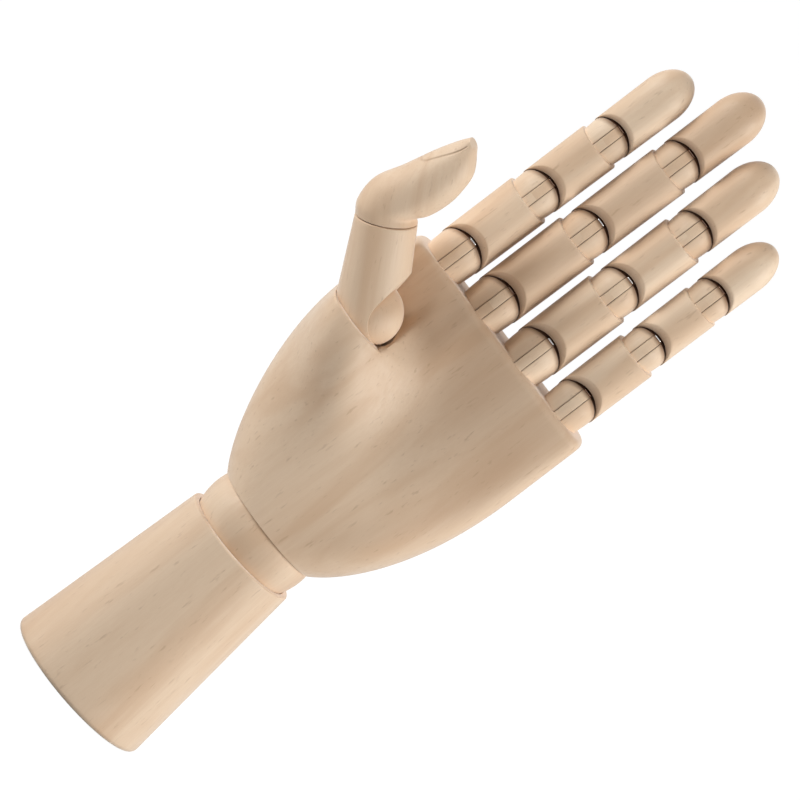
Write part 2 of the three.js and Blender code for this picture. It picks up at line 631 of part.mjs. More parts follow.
function addThumb(hand) {
  const thumb = at(hand, ...thumbPlace);
  thumb.rotation.copy(thumbTurn);
  const dowelStart = THUMB_LENGTH - DOWEL_DEPTH;
  piece(thumb, "thumb_ball", thumbBall(), wood);
  piece(thumb, "thumb_pin", thumbPin(THUMB_PIN_RADIUS, THUMB_PIN_LENGTH), steel);
  piece(thumb, "thumb_tongue", thumbTongue(), darkWood);
  piece(thumb, "thumb_base_link", thumbLink(), wood);
  piece(thumb, "thumb_dowel", cylinder(DOWEL_RADIUS, dowelStart, dowelStart + 2 * DOWEL_DEPTH), darkWood);
  piece(thumb, "thumb_tip", thumbTip(), wood);
}

const root = new THREE.Group();
piece(root, "forearm", forearm(), wood);
const wrist = at(root, 0, 0, wristHeight);
piece(wrist, "wrist_ball", wristBall(), wood);
const hand = at(wrist, 0, 0, 0);
hand.rotation.y = radians(WRIST_LEAN);
piece(hand, "wrist_pin", crossPin(WRIST_PIN_RADIUS, WRIST_PIN_LENGTH), steel);
piece(hand, "wrist_tongue", wristTongue(), darkWood);
piece(hand, "palm", palm(), wood);
FINGERS.forEach((finger) => addFinger(hand, finger));
addThumb(hand);

export default root;
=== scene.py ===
"""Looks of an articulated wooden hand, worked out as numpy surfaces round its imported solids."""
import json
from functools import partial
from math import acos, asin, cos, pi, radians, sin, sqrt, tan
from types import SimpleNamespace

import bpy
import numpy as np
from bpy.props import FloatProperty, FloatVectorProperty, PointerProperty
from bpy.types import Operator, Panel, PropertyGroup
from mathutils import Matrix, Vector


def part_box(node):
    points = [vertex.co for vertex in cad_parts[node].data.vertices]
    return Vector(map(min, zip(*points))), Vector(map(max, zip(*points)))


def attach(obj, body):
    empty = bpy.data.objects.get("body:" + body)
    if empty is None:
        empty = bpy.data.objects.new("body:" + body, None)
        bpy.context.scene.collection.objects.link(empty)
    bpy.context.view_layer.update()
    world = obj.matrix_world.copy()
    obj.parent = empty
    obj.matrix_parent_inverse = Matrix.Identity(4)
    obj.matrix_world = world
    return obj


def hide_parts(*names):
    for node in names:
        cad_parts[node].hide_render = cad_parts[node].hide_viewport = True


bl_info = {
    "name": "Articulated wooden hand",
    "version": (1, 0, 0),
    "blender": (4, 5, 0),
    "location": "3D View > Sidebar > Hand",
    "description": "Builds the visible pieces of a jointed wooden hand on its packed solids",
    "category": "Object",
}

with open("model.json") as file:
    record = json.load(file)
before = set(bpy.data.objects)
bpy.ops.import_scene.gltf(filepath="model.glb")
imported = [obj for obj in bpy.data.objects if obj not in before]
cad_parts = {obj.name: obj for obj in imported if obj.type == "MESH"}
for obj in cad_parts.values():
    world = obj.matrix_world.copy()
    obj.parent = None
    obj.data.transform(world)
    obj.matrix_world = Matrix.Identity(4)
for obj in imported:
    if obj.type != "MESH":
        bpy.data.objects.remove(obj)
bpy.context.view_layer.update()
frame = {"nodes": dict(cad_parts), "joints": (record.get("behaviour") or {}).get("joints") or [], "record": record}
JOINTS = {joint["name"]: joint for joint in frame["joints"]}
MM = 0.001

# Pieces of a finger, from the palm to the tip
FINGERS = ("index", "middle", "ring", "little")
JOINT_WORDS = ("knuckle", "mid", "end")
LINK_WORDS = ("base_link", "mid_link", "tip")
BODY_WORDS = ("base", "middle", "end")

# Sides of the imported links' outlines, and how softly the flat at the back of a fingertip sets in
SOLID_SIDES = 18
NAIL_FLAT_BLEND = 0.5

# Slanted end of a link towards the palm, and its painted shade row by row from the socket to the wall
BEVELS = [radians(angle) for angle in (50, 50, 47)]
BEVEL_BEND = 0.5
END_SHADES = (1, 0.9, 0.75, 0.6, 0.45, 0.32, 0.19, 0.06, 0.03, 0, 0, 0)

# Groove in a ball under that end: where it is full and how deep it reaches, then the painted shadow below it and
# the painted shade along the slot's seams
GROOVE_FULL = 0.64
GROOVE_SKIN = 0.8
GROOVE_SKIN_FADE = 0.15
GROOVE_FADE_SHADE = 0.8
SEAM_SHADE = 0.6

# Web that closes a ball's slot below the tongue, as shares of the ball and of the tongue's gap
WEB_TOP = 0.06
WEB_GAP = 0.6

# Wire staples across the tongues; all but the bright ones get a painted shade that darkens their steel
STAPLE_ABOVE = radians(6)
BRIGHT_STAPLES = ("index_knuckle", "ring_knuckle", "middle_mid", "ring_mid", "little_mid")
SHADED_STAPLE = 0.9

# How much browner than the palest wood each piece is
FINGER_TONES = {"index": 0.04, "middle": 0.42, "ring": 0.06, "little": 0.0}
BALL_TONE_SHARE = 0.4
FOREARM_TONE = 0.17
WRIST_TONE = 0.18
THUMB_TONE = 0.2
PALM_TONE = 0.2
# On the palm two swells make it browner: in the hollow behind the thumb partly browner wood and partly painted
# shade, and in a streak below the little finger painted shade only
HOLLOW_BROWN_AND_SHADE = {"depth": 0.3, "x": -6, "width": 26, "z": 78, "length": 20}
STREAK_SHADE = {"depth": 0.5, "x": 27, "width": 6, "z": 62, "length": 26}

# Wrist ball: height in degrees at which its pocket begins, and the bevel of its spigot
WRIST_CROWN = 45
SPIGOT_BEVEL = 0.4

# Palm, in millimetres from the wrist ball's centre
PALM_RIM_HEIGHT = 3.9
PALM_TOP = 87.5
PALM_WIDEST_HEIGHT = 62.0
PALM_LEFT = -40.8
PALM_RIGHT = 35.6
PALM_SHOULDER_FLARE = 3.0
PALM_KNUCKLE_FRONT = 9.2
PALM_KNUCKLE_BACK = 9.5
PALM_SQUARENESS = 2.6
PALM_RIM_TILT = 1.1
LEFT_FLARE = (9.8, 9)
RIGHT_FLARE = (8, 8)
LEFT_BEND = 22
RIGHT_BEND = 30

# Swells of the palm's front, and how they fade towards its sides
THENAR = {"depth": 17, "width": 16, "length": 24, "slant": 0.5}
HOLLOW = {"depth": 2, "x": 2, "width": 16, "z": 66, "length": 18}
HEEL = {"depth": 2.5, "x": 22, "width": 12, "z": 30, "length": 22}
SIDE_FADE = 24
FULL_LENGTH = 26.0
FULL_FADE = 40

# Shoulder under the thumb, the sloping floor of the recess above it, and the ramp beside the thumb's ball
SHOULDER_HEIGHT = 62.0
SHOULDER_MERGE = 1.5
FLOOR_DEPTH = 4.6
FLOOR_RISE = 0.165
FLOOR_REACH = 16.0
FLOOR_BLEND = 3.0
FLOOR_TURN = 8.0
RAMP_START = -3.0
RAMP_WIDTH = 4.0
RAMP_HEIGHT = 60.0
RAMP_LENGTH = 16.0
RAMP_ROUND = 6.0

# Thumb, in millimetres from its ball's centre, the palm towards +X
THUMB_GLUE_GAP = 0.1
THUMB_OPENING = (1.7, 1.3)
THUMB_OPENING_RISE = radians(58)
THUMB_OPENING_DRIFT = 0.3
THUMB_OPENING_ROUND = 4.5
SWEEP_DISC = 5.3
SWEEP_HALF_BAR = 2.8
SWEEP_HALF_WIDTH = 1.8
SWEEP_PAST_CUP = 0.4
SWEEP_EDGE = 0.02
TIP_NAIL_SIDE = ((-8.8, 0), (-8.7, 4.5), (-5.2, 10.8), (2.2, 16.3), (9.9, 22.4), (16, 26.6), (19.6, 28.6))
TIP_PAD_SIDE = ((8.8, 0), (8.4, 2.1), (12.2, 4), (16.6, 8.2), (19.6, 12.6), (22, 18.2), (21.8, 25.2))
TIP_HALF_WIDTHS = ((8.8,), (8.8,), (8.6,), (8,), (7.2,), (5.6,), (2.4,))
TIP_FIRST_OVAL = 0.012
TIP_CLOSING = 0.9
NAIL_START = 0.6
NAIL_END = 0.95
NAIL_ROOT_BEND = 0.03
NAIL_ANGLES = (radians(36), radians(66))
# Painted shade along the nail's pressed-in line, and its width as a share of that line's
NAIL_SHADE = 0.5
NAIL_SHADE_WIDTH = 1.1

# Meshes: columns round a piece, steps of a traced cut, largest share of a face that a soft edge takes
TURNED_COLUMNS = 192
PALM_COLUMNS = 360
PALM_CROWDING = 0.3
PALM_ROW_CROWDING = 1.2
LINK_COLUMNS = 112
CHEEK_COLUMNS = 72
CROWN_CROWDING = 1.8
SLAB_COLUMNS = 200
ROD_COLUMNS = 24
THUMB_COLUMNS = 144
SOCKET_COLUMNS = 128
TIP_COLUMNS = 200
TRACE_STEPS = 500
LINK_EDGE_SHARE = 0.4
SLOT_EDGE_SHARE = 0.35
SHOULDER_EDGE_SHARE = 0.3
NEAR_POLE = 88
QUARTER_TURN = np.radians([0, 30, 60, 90])
SHARP_ANGLE = radians(38)
TINY = 1e-6

# Wood's figure along Z: how often it changes in a metre of each axis, its noise's detail, roughness and
# distortion, and the range of the noise that is drawn
FIGURE = {
    "Bands": {"often": (90, 55, 9), "noise": (3.0, 0.55, 0.6), "range": (0.38, 0.66)},
    "Fibres": {"often": (1500, 1500, 60), "noise": (4.0, 0.6, 0.0), "range": (0.3, 0.7)},
    "Pores": {"often": (1150, 1150, 190), "noise": (2.0, 0.5, 0.0), "range": (0.62, 0.76)},
}
GRAIN_SHIFT = 200
FIBRE_VEIL = 0.22
PORE_VEIL = 0.3
FIBRE_RELIEF = 0.0002
STEEL_OFTEN = (80, 4000, 4000)
STEEL_DIM = 0.8

# Camera and light
VIEW_ELEVATION = radians(11)
VIEW_ROLL = radians(49.5)
VIEW_DISTANCE = 6.0
VIEW_OFFSET = (39.2 * MM, 36.3 * MM)
SENSOR = 36.0
IMAGE_PIXELS = 800
MM_PER_PIXEL = 0.2763
CLIP_START = 0.01
WALL_EDGES = (-0.2, 0.8)
LAMP_PLACE = (1.13, -0.37, 0.42)
LAMP_SIZE = 0.5
LAMP_AIM = (0, 0, 0.14)
GROUND_HALF = 4.0
GROUND_GLOW = 0.9
GROUND_SHADOW = 0.2
GROUND_GREY = 0.35


def length(name, description, millimetres):
    """A length property with its default in millimetres."""
    return FloatProperty(
        name=name, description=description, default=millimetres * MM, min=0, unit="LENGTH", precision=5
    )


def colour(name, description, default):
    """A colour property in linear light."""
    return FloatVectorProperty(
        name=name, description=description, default=default, min=0, max=1, size=3, subtype="COLOR"
    )


class JointSizes(PropertyGroup):
    """Sizes of the finger joints."""

    lip_wall: length("Lip wall", "Wood of a link round its ball", 0.1)
    run_gap: length("Running gap", "Between a ball and its socket", 0.1)
    front_gap: length("Front gap", "How much wider the socket is towards the palm", 0.9)
    lip_rise: length("Lip rise", "Height of the cut end at the sides of the ball", 0.7)
    lip_gap: length("Lip gap", "Between the lip at the back and the rim below", 0.5)
    rim_drop: length("Rim drop", "From a ball's centre down to the rim that carries it", 3.5)
    knuckle_drop: length("Knuckle drop", "From a knuckle's centre down to the palm", 5.0)
    link_taper: length("Link taper", "How much thinner a link is at its nearer end", 0.3)
    link_edge: length("Link edge", "Rounding of a link's far rim", 0.4)
    soft_edge: length("Soft edge", "Rounding of the cut end of a link", 0.3)
    collar_taper: length("Collar taper", "How much narrower a ball is at its rim", 0.25)
    ball_seat: length("Ball seat", "How far a ball goes into what carries it", 1.0)
    slot_width: length("Slot width", "Width of the slot in a ball", 3.0)
    slot_edge: length("Slot edge", "Rounding of the slot's edges", 0.15)
    strip_width: length("Strip width", "Thickness of the tongue in the slot", 2.8)
    strip_drop: length("Strip drop", "How far the tongue lies below the ball's surface", 0.05)
    shank_width: length("Shank width", "Width of the tongue's shank", 5.0)
    shank_depth: length("Shank depth", "How far the shank goes into the link", 1.5)
    tip_dome: length("Fingertip dome", "Length of the rounded fingertip", 10.0)
    nail_length: length("Nail length", "Length of the flat at the back of a fingertip", 11.0)
    nail_depth: length("Nail depth", "Depth of that flat at the end", 1.5)
    strip_edge: length("Strip edge", "Rounding of the tongue's edges", 0.15)
    # The seam line is a painted shade along the slot's gaps
    seam_line: length("Seam line", "Width of the dark line along the slot", 0.1)
    groove_depth: length("Groove depth", "Depth of the groove in a ball under the slanted end", 0.5)
    groove_edge: length("Groove edge", "Width of that groove's lower side", 0.5)
    groove_shown: length("Groove shown", "How far that groove shows below the slanted end", 0.6)
    # The groove's fade is a painted shadow on the ball below the slanted end
    groove_fade: length("Groove fade", "Width of the brown shade below that groove", 2.6)
    staple_length: length("Staple length", "Length of the wire across a tongue", 2.4)
    staple_width: length("Staple width", "Thickness of that wire", 0.7)


class BlockSizes(PropertyGroup):
    """Sizes of the forearm, the wrist, the palm and the thumb."""

    foot_edge: length("Foot edge", "Rounding of the forearm's lower edge", 1.6)
    rim_edge: length("Rim edge", "Rounding of the forearm's upper rim", 0.6)
    wrist_radius: length("Wrist ball", "Radius of the wrist ball", 18.2)
    wrist_gap: length("Wrist gap", "Between the wrist ball and its seats", 0.25)
    rim_wall: length("Forearm rim wall", "Wood round the forearm's seat", 1.8)
    palm_rim_wall: length("Palm rim wall", "Wood round the palm's seat", 0.4)
    spigot_radius: length("Spigot radius", "Radius of the spigot under the wrist ball", 7.0)
    spigot_length: length("Spigot length", "Length of that spigot", 16.0)
    pocket_radius: length("Pocket radius", "Radius of the pocket for the wrist's tongue", 11.7)
    pocket_depth: length("Pocket depth", "Depth of that pocket below the ball's centre", 9.5)
    knuckle_edge: length("Knuckle edge", "Rounding of the palm's edge at the knuckles", 2.5)
    shoulder_edge: length("Shoulder edge", "Rounding of the shoulder's front edge", 0.6)
    shoulder_fillet: length("Shoulder fillet", "Rounding where the shoulder meets the palm", 0.9)
    thumb_ball: length("Thumb ball", "Radius of the thumb's ball", 9.5)
    thumb_cup: length("Thumb cup", "Outer radius of the cup round the thumb's ball", 10.1)
    thumb_length: length("Thumb length", "From the ball's centre to the seam of the tip", 27.2)
    thumb_seat_gap: length("Thumb seat gap", "Between the cup and its seat in the palm", 0.25)
    thumb_seam: length("Thumb seam", "Radius at the seam of the thumb's tip", 8.8)
    seam_gap: length("Seam gap", "Between the thumb's lower piece and its tip", 0.25)
    seam_edge: length("Seam edge", "Rounding of the thumb's seam", 0.3)
    nail_line: length("Nail line", "Depth of the line round the thumb's nail", 0.28)
    nail_line_width: length("Nail line width", "Half width of that line", 0.24)


class Finishes(PropertyGroup):
    """Colours of the wood, the steel and the painted shade."""

    pale: colour("Pale wood", "Wood between the growth bands", (0.84, 0.66, 0.483))
    grain: colour("Grain", "Wood in the growth bands", (0.725, 0.52, 0.35))
    brown: colour("Brown wood", "Wood of the browner pieces", (0.52, 0.325, 0.192))
    fleck: colour("Flecks", "Short dark pores along the grain", (0.38, 0.225, 0.125))
    # The dark colour below is painted shade in the joints, grooves and creases, and on the shaded staples
    dark: colour("Dark wood", "Wood in the joints and creases", (0.17, 0.07, 0.025))
    sawn: colour("Sawn wood", "Unpolished wood of the tongues", (0.82, 0.635, 0.455))
    steel: colour("Steel", "Wire and pins", (0.85, 0.84, 0.82))


class StageSettings(PropertyGroup):
    """Light on the object."""

    fill: FloatProperty(name="Fill", description="Even light from the front", default=0.17, min=0)
    behind: FloatProperty(name="Behind", description="Light from the white wall behind", default=1.1, min=0)
    left: FloatProperty(name="Left lamp", description="Power of the lamp at the left", default=11.6, min=0)
    right: FloatProperty(name="Right lamp", description="Power of the lamp at the right", default=12.6, min=0)


def setting_names(group):
    """Names of a group's own settings."""
    return [name for name in group.bl_rna.properties.keys() if name not in ("rna_type", "name")]


def in_mm(group):
    """A group's lengths in millimetres."""
    return SimpleNamespace(**{name: getattr(group, name) / MM for name in setting_names(group)})


class Place:
    """A local frame, as its origin in millimetres and the directions of its three axes."""

    def __init__(self, origin, axes):
        self.origin = np.array(origin, float)
        self.axes = np.array(axes, float)

    def to_part(self, points):
        """Points of this frame in the part's: the origin and each coordinate along its axis."""
        return self.origin + points @ self.axes

    def to_local(self, points):
        """Points of the part in this frame: their way from the origin along each axis."""
        return (points - self.origin) @ self.axes.T


def joint_at(name):
    """Where a joint turns, in millimetres."""
    return np.array(JOINTS[name]["pos_m"]) / MM


def joint_axis(name):
    """Direction that a joint turns about."""
    return np.array(JOINTS[name]["axis"])


def bend_axes(name):
    """Axes of a joint that bends about its X, with Y towards the back of the hand."""
    across = joint_axis(name)
    return np.array([across, UPRIGHT[1], np.cross(across, UPRIGHT[1])])


UPRIGHT = np.eye(3)
HAND_AXES = bend_axes("wrist_tilt")
THUMB_SIDE = -joint_axis("thumb_swing")
THUMB_ALONG = joint_axis("thumb_tip_turn")
THUMB_AXES = np.array([np.cross(THUMB_SIDE, THUMB_ALONG), THUMB_SIDE, THUMB_ALONG])
HAND = Place(joint_at("wrist_tilt"), HAND_AXES)
THUMB = Place(joint_at("thumb_swing"), THUMB_AXES)
THUMB_PLACE = HAND.to_local(THUMB.origin)


# Surfaces


def around(count):
    """Evenly spaced turns about an axis."""
    return np.arange(count) * (2 * pi / count)


def between(low, high, count, ends=True):
    """Rows of values from low to high, with or without the first and last."""
    shares = np.linspace(0, 1, count)
    if not ends:
        shares = shares[1:-1]
    return low + (high - low) * shares[:, None]


def turned(path, turns):
    """A path of (radius, height) for every turn, carried round Z: x = r cos t, y = r sin t, z = h."""
    radius, height = path[..., 0], path[..., 1]
    return np.stack([radius * np.cos(turns), radius * np.sin(turns), height], axis=-1)


def lathe(profile, count):
    """The same profile of (radius, height) at every turn."""
    path = np.repeat(np.array(profile, float)[:, None, :], count, axis=1)
    return turned(path, around(count))


def arc(centre, radius, start, end, steps):
    """Points (radius, height) on a circle, from one angle above the horizontal to another."""
    angles = np.radians(np.linspace(start, end, steps))
    return np.stack([centre[0] + radius * np.cos(angles), centre[1] + radius * np.sin(angles)], axis=-1)


def soft_corner(before, corner, after, steps):
    """Rows of a quadratic curve that leaves before and reaches after, pulled towards the corner."""
    t = np.linspace(0, 1, steps).reshape(-1, *[1] * np.ndim(corner))
    return (1 - t) ** 2 * before + 2 * t * (1 - t) * corner + t**2 * after


def smooth_min(a, b, blend):
    """The lesser of two values, (a + b - |a - b|) / 2 with the corner of |a - b| rounded."""
    return (a + b - np.sqrt((a - b) ** 2 + blend**2)) / 2


def rounded_min(a, b, reach):
    """The lesser of two values, less a parabola where they differ by less than reach."""
    near = np.maximum(0, 1 - np.abs(a - b) / reach)
    return np.minimum(a, b) - reach / 4 * near**2


def smooth_step(share):
    """A share held between 0 and 1 and eased at both ends: 3 s^2 - 2 s^3."""
    share = np.clip(share, 0, 1)
    return share * share * (3 - 2 * share)


def catmull_rom(points, shares):
    """A curve through evenly spaced points, each stretch a cubic whose ends lean along the neighbours."""
    points = np.array(points, float)
    ends = np.concatenate([2 * points[:1] - points[1:2], points, 2 * points[-1:] - points[-2:-1]])
    spot = np.clip(shares, 0, 1) * (len(points) - 1)
    first = np.minimum(spot.astype(int), len(points) - 2)
    t = (spot - first)[..., None]
    a, b, c, d = (ends[first + k] for k in range(4))
    return 0.5 * (2 * b + (c - a) * t + (2 * a - 5 * b + 4 * c - d) * t**2 + (3 * b - a - 3 * c + d) * t**3)


def closed_skin(grid, first=None, last=None):
    """Vertices and faces of a grid whose columns run round and whose ends close in a fan to a pole."""
    rows, columns, _ = grid.shape
    first = grid[0].mean(axis=0) if first is None else first
    last = grid[-1].mean(axis=0) if last is None else last
    vertices = np.concatenate([grid.reshape(-1, 3), np.array([first, last], float)])
    ring = np.arange(columns)
    following = np.roll(ring, -1)
    low = columns * np.arange(rows - 1)[:, None]
    quads = np.stack([low + ring, low + following, low + columns + following, low + columns + ring], axis=-1)
    end = (rows - 1) * columns
    first_fan = np.stack([np.full(columns, rows * columns), following, ring], axis=-1)
    last_fan = np.stack([np.full(columns, rows * columns + 1), end + ring, end + following], axis=-1)
    return vertices, [quads.reshape(-1, 4), first_fan, last_fan]


def mesh_of(name, skins, place):
    """One mesh from several closed skins, put in its place."""
    vertices, faces, start = [], [], 0
    for points, groups in skins:
        vertices.append(place.to_part(points) * MM)
        faces.extend(face for group in groups for face in (group + start).tolist())
        start += len(points)
    mesh = bpy.data.meshes.new(name)
    mesh.from_pydata(np.concatenate(vertices), [], faces)
    return mesh


def new_object(name, data):
    """An object in the scene, at the origin and unturned."""
    made = bpy.data.objects.new(name, data)
    bpy.context.scene.collection.objects.link(made)
    return made


def carve(piece, skin, place):
    """Cuts a closed skin out of a piece, and keeps the result as its mesh."""
    cutter = new_object("cutter", mesh_of("cutter", [skin], place))
    cut = piece.modifiers.new("cut", "BOOLEAN")
    cut.operation = "DIFFERENCE"
    cut.solver = "MANIFOLD"
    cut.object = cutter
    solid = piece.evaluated_get(bpy.context.evaluated_depsgraph_get())
    mesh = bpy.data.meshes.new_from_object(solid)
    piece.modifiers.clear()
    uncut, piece.data = piece.data, mesh
    bpy.data.meshes.remove(uncut)
    bpy.data.meshes.remove(cutter.data)


def dress(piece, place, material, tone, crease):
    """Stores the grain's coordinates, the browning (partly painted shade) and the painted shade at each point, and
    sets shading and material.
    """
    mesh = piece.data
    points = np.empty(3 * len(mesh.vertices), np.float32)
    mesh.vertices.foreach_get("co", points)
    local = place.to_local(points.reshape(-1, 3) / MM)
    shift = np.random.default_rng(sum(piece.name.encode())).uniform(-GRAIN_SHIFT, GRAIN_SHIFT, 3)
    grain = mesh.attributes.new("grain", "FLOAT_VECTOR", "POINT")
    grain.data.foreach_set("vector", ((local + shift) * MM).astype(np.float32).ravel())
    for name, value in (("tone", tone), ("crease", crease)):
        amount = np.broadcast_to(value(local) if callable(value) else value, len(local))
        stored = mesh.attributes.new(name, "FLOAT", "POINT")
        stored.data.foreach_set("value", amount.astype(np.float32))
    mesh.shade_smooth()
    mesh.set_sharp_from_angle(angle=SHARP_ANGLE)
    mesh.materials.clear()
    mesh.materials.append(material)


def make_piece(name, skins, place, body, nodes=(), slot="wood", tone=0.0, crease=0.0, cuts=()):
    """A piece from closed skins, carved, dressed, and riding on its body in place of its solids."""
    piece = new_object(name, mesh_of(name, skins, place))
    for cut_skin, cut_place in cuts:
        carve(piece, cut_skin, cut_place)
    dress(piece, place, material_of(slot), tone, crease)
    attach(piece, body)
    if nodes:
        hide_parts(*nodes)


# Finger joints, each about its ball's centre with the finger along +Z and the palm side at -Y


def cut_travel(path, travel, keep):
    """Travel at which each turn's path first leaves the kept side, sampled densely and interpolated."""
    side = keep(path(travel[:, None]))
    first = np.argmax(side < 0, axis=0)
    column = np.arange(side.shape[1])
    before, after = side[first - 1, column], side[first, column]
    return travel[first - 1] + before / (before - after) * (travel[first] - travel[first - 1])


def above_end(link, sizes, y, z):
    """Height over a link's slanted end: z - rise + slope(y), steep at the palm, easing to a lip behind."""
    steep = tan(link.bevel)
    gentle = (sizes.lip_rise + link.drop - sizes.lip_gap) / link.near
    bend = np.sqrt(y**2 + BEVEL_BEND**2) - BEVEL_BEND
    slope = (gentle + steep) / 2 * y + (gentle - steep) / 2 * bend
    return z - sizes.lip_rise + slope


def far_end(link, sizes, height):
    """Profile of a link's far end: a dome at the fingertip, else a rounded rim and a flat face."""
    if link.is_tip:
        return arc((0, 0), 1, 0, NEAR_POLE, 26) * (link.far, sizes.tip_dome) + (0, height)
    rim = arc((link.far - sizes.link_edge, height - sizes.link_edge), sizes.link_edge, 0, 90, 5)
    face = [(share * link.far, height) for share in (0.7, 0.3)]
    return np.concatenate([rim, face])


def link_skin(link, sizes):
    """A link as one closed skin: up the socket, over the slanted end, along the wall and in at the far end.

    Also gives the skin's painted shade: full in the socket, fading over the slanted end that faces down.
    """
    turns = around(LINK_COLUMNS)
    front = np.maximum(0, -np.sin(turns)) ** 2
    socket = link.ball + sizes.run_gap
    wall_end = link.length - (sizes.tip_dome if link.is_tip else sizes.rim_drop)

    def hollow(travel):
        """The socket: a ball from its top to its middle, wider towards the palm, then straight down."""
        angle = np.minimum(travel, pi / 2)
        radius = socket + sizes.front_gap * front * np.sin(2 * angle) ** 2
        down = socket * (travel - angle)
        return np.stack([radius * np.sin(angle), radius * np.cos(angle) - down], axis=-1)

    def wall(height):
        """The outer wall: a cone from the near radius to the far one."""
        height = height + 0 * turns
        share = (height + link.drop) / (wall_end + link.drop)
        return np.stack([link.near + (link.far - link.near) * share, height], axis=-1)

    def keep(path):
        """More than 0 on the link's side of its slanted end."""
        return above_end(link, sizes, path[..., 0] * np.sin(turns), path[..., 1])

    # Both ways start well inside the link and end well past its slanted end
    down_the_socket = np.linspace(0.05, pi / 2 + 1.3, TRACE_STEPS)
    down_the_wall = np.linspace(wall_end, -link.drop - 2, TRACE_STEPS)
    inner, outer = cut_travel(hollow, down_the_socket, keep), cut_travel(wall, down_the_wall, keep)
    inner_edge, outer_edge = hollow(inner), wall(outer)
    across = outer_edge - inner_edge
    width = np.linalg.norm(across, axis=-1)
    soft = np.minimum(sizes.soft_edge, LINK_EDGE_SHARE * width)
    inward, outward = (inner_edge + across * share[:, None] for share in (soft / width, 1 - soft / width))
    rows = [
        hollow(between(0, inner - soft / socket, 26)[1:-1]),
        soft_corner(hollow(inner - soft / socket), inner_edge, inward, 4),
        soft_corner(inward, (inward + outward) / 2, outward, 6)[1:-1],
        soft_corner(outward, outer_edge, wall(outer + soft), 4),
        wall(between(outer + soft, wall_end - sizes.link_edge, 16, ends=False)),
    ]
    rows.append(np.repeat(far_end(link, sizes, wall_end)[:, None, :], len(turns), axis=1))
    # Painted shade: full inside the socket, fading over the slanted end, none on the wall and far end
    levels = np.concatenate([np.ones(len(rows[0])), END_SHADES, np.zeros(len(rows[4]) + len(rows[5]))])
    shade = np.concatenate([np.repeat(levels, len(turns)), [1, 0]])
    skin = turned(np.concatenate(rows), turns)
    top = wall_end
    if link.is_tip:
        top = link.length
        nail = (skin[..., 2] - link.length + sizes.nail_length) / sizes.nail_length
        skin[..., 1] = smooth_min(skin[..., 1], link.far - sizes.nail_depth * nail, NAIL_FLAT_BLEND)
    return closed_skin(skin, first=(0, 0, socket), last=(0, 0, top)), shade


def groove_parts(link, sizes, points):
    """1 where a ball or tongue lies in the groove under its link, and the painted shadow that fades below it."""
    y, z = points[..., 1], points[..., 2]
    front = np.clip(-y / (GROOVE_FULL * link.ball), 0, 1)
    above = above_end(link, sizes, y, z) + sizes.groove_shown * front**2
    inside = smooth_step(above / sizes.groove_edge) * smooth_step(-y) * (z > 0)
    # Painted shadow on the ball below the link's slanted end
    fading = GROOVE_FADE_SHADE * front * smooth_step(1 + above / sizes.groove_fade) * (z > 0)
    return inside, fading


def end_shade(link, sizes, points):
    """Painted shade of a ball or tongue at the slanted end: full in the groove, a painted shadow fading out below
    it.
    """
    return np.maximum(*groove_parts(link, sizes, points))


def grooved(link, sizes, skin):
    """A ball's or tongue's skin drawn towards the joint's axis where the groove lies."""
    points, faces = skin
    reach = np.linalg.norm(points, axis=-1)
    near_top = smooth_step((reach / link.ball - GROOVE_SKIN) / GROOVE_SKIN_FADE)
    inside, _ = groove_parts(link, sizes, points)
    share = sizes.groove_depth / link.ball * inside * near_top
    return points * np.stack([np.ones_like(share), 1 - share, 1 - share], axis=-1), faces


def ball_shade(link, sizes, points):
    """Painted shade of a ball: a dark line along the gaps of its slot, and the groove under the link."""
    from_slot = np.abs(points[:, 0]) - sizes.slot_width / 2
    # Painted shade along the gaps beside the tongue
    line = SEAM_SHADE * smooth_step(2 - from_slot / sizes.seam_line)
    line = np.where(from_slot > -sizes.seam_line / 2, line, 0)
    return np.maximum(line, end_shade(link, sizes, points))


def web_skin(link, sizes, side):
    """What fills the slot below the tongue: from its disc out to the ball's collar, level by level."""
    levels = np.linspace(-link.drop - sizes.ball_seat, -WEB_TOP * link.ball, 16)[:, None]
    outer = link.ball - sizes.collar_taper * (levels / link.drop) ** 2
    inner = np.sqrt((link.ball - sizes.strip_drop) ** 2 - levels**2) + WEB_GAP * sizes.strip_drop
    edge = np.minimum(sizes.strip_edge, LINK_EDGE_SHARE * (outer - inner))
    half = sizes.strip_width / 2 + 0 * levels
    corner_x = half - edge * (1 - np.cos(QUARTER_TURN))
    corner_y = edge * (1 - np.sin(QUARTER_TURN)) - outer
    x = np.concatenate([-half, -corner_x, corner_x[:, ::-1], half], axis=1)
    y = np.concatenate([-inner, corner_y, corner_y[:, ::-1], -inner], axis=1)
    return closed_skin(np.stack([side * x, side * y, np.broadcast_to(levels, x.shape)], axis=-1))


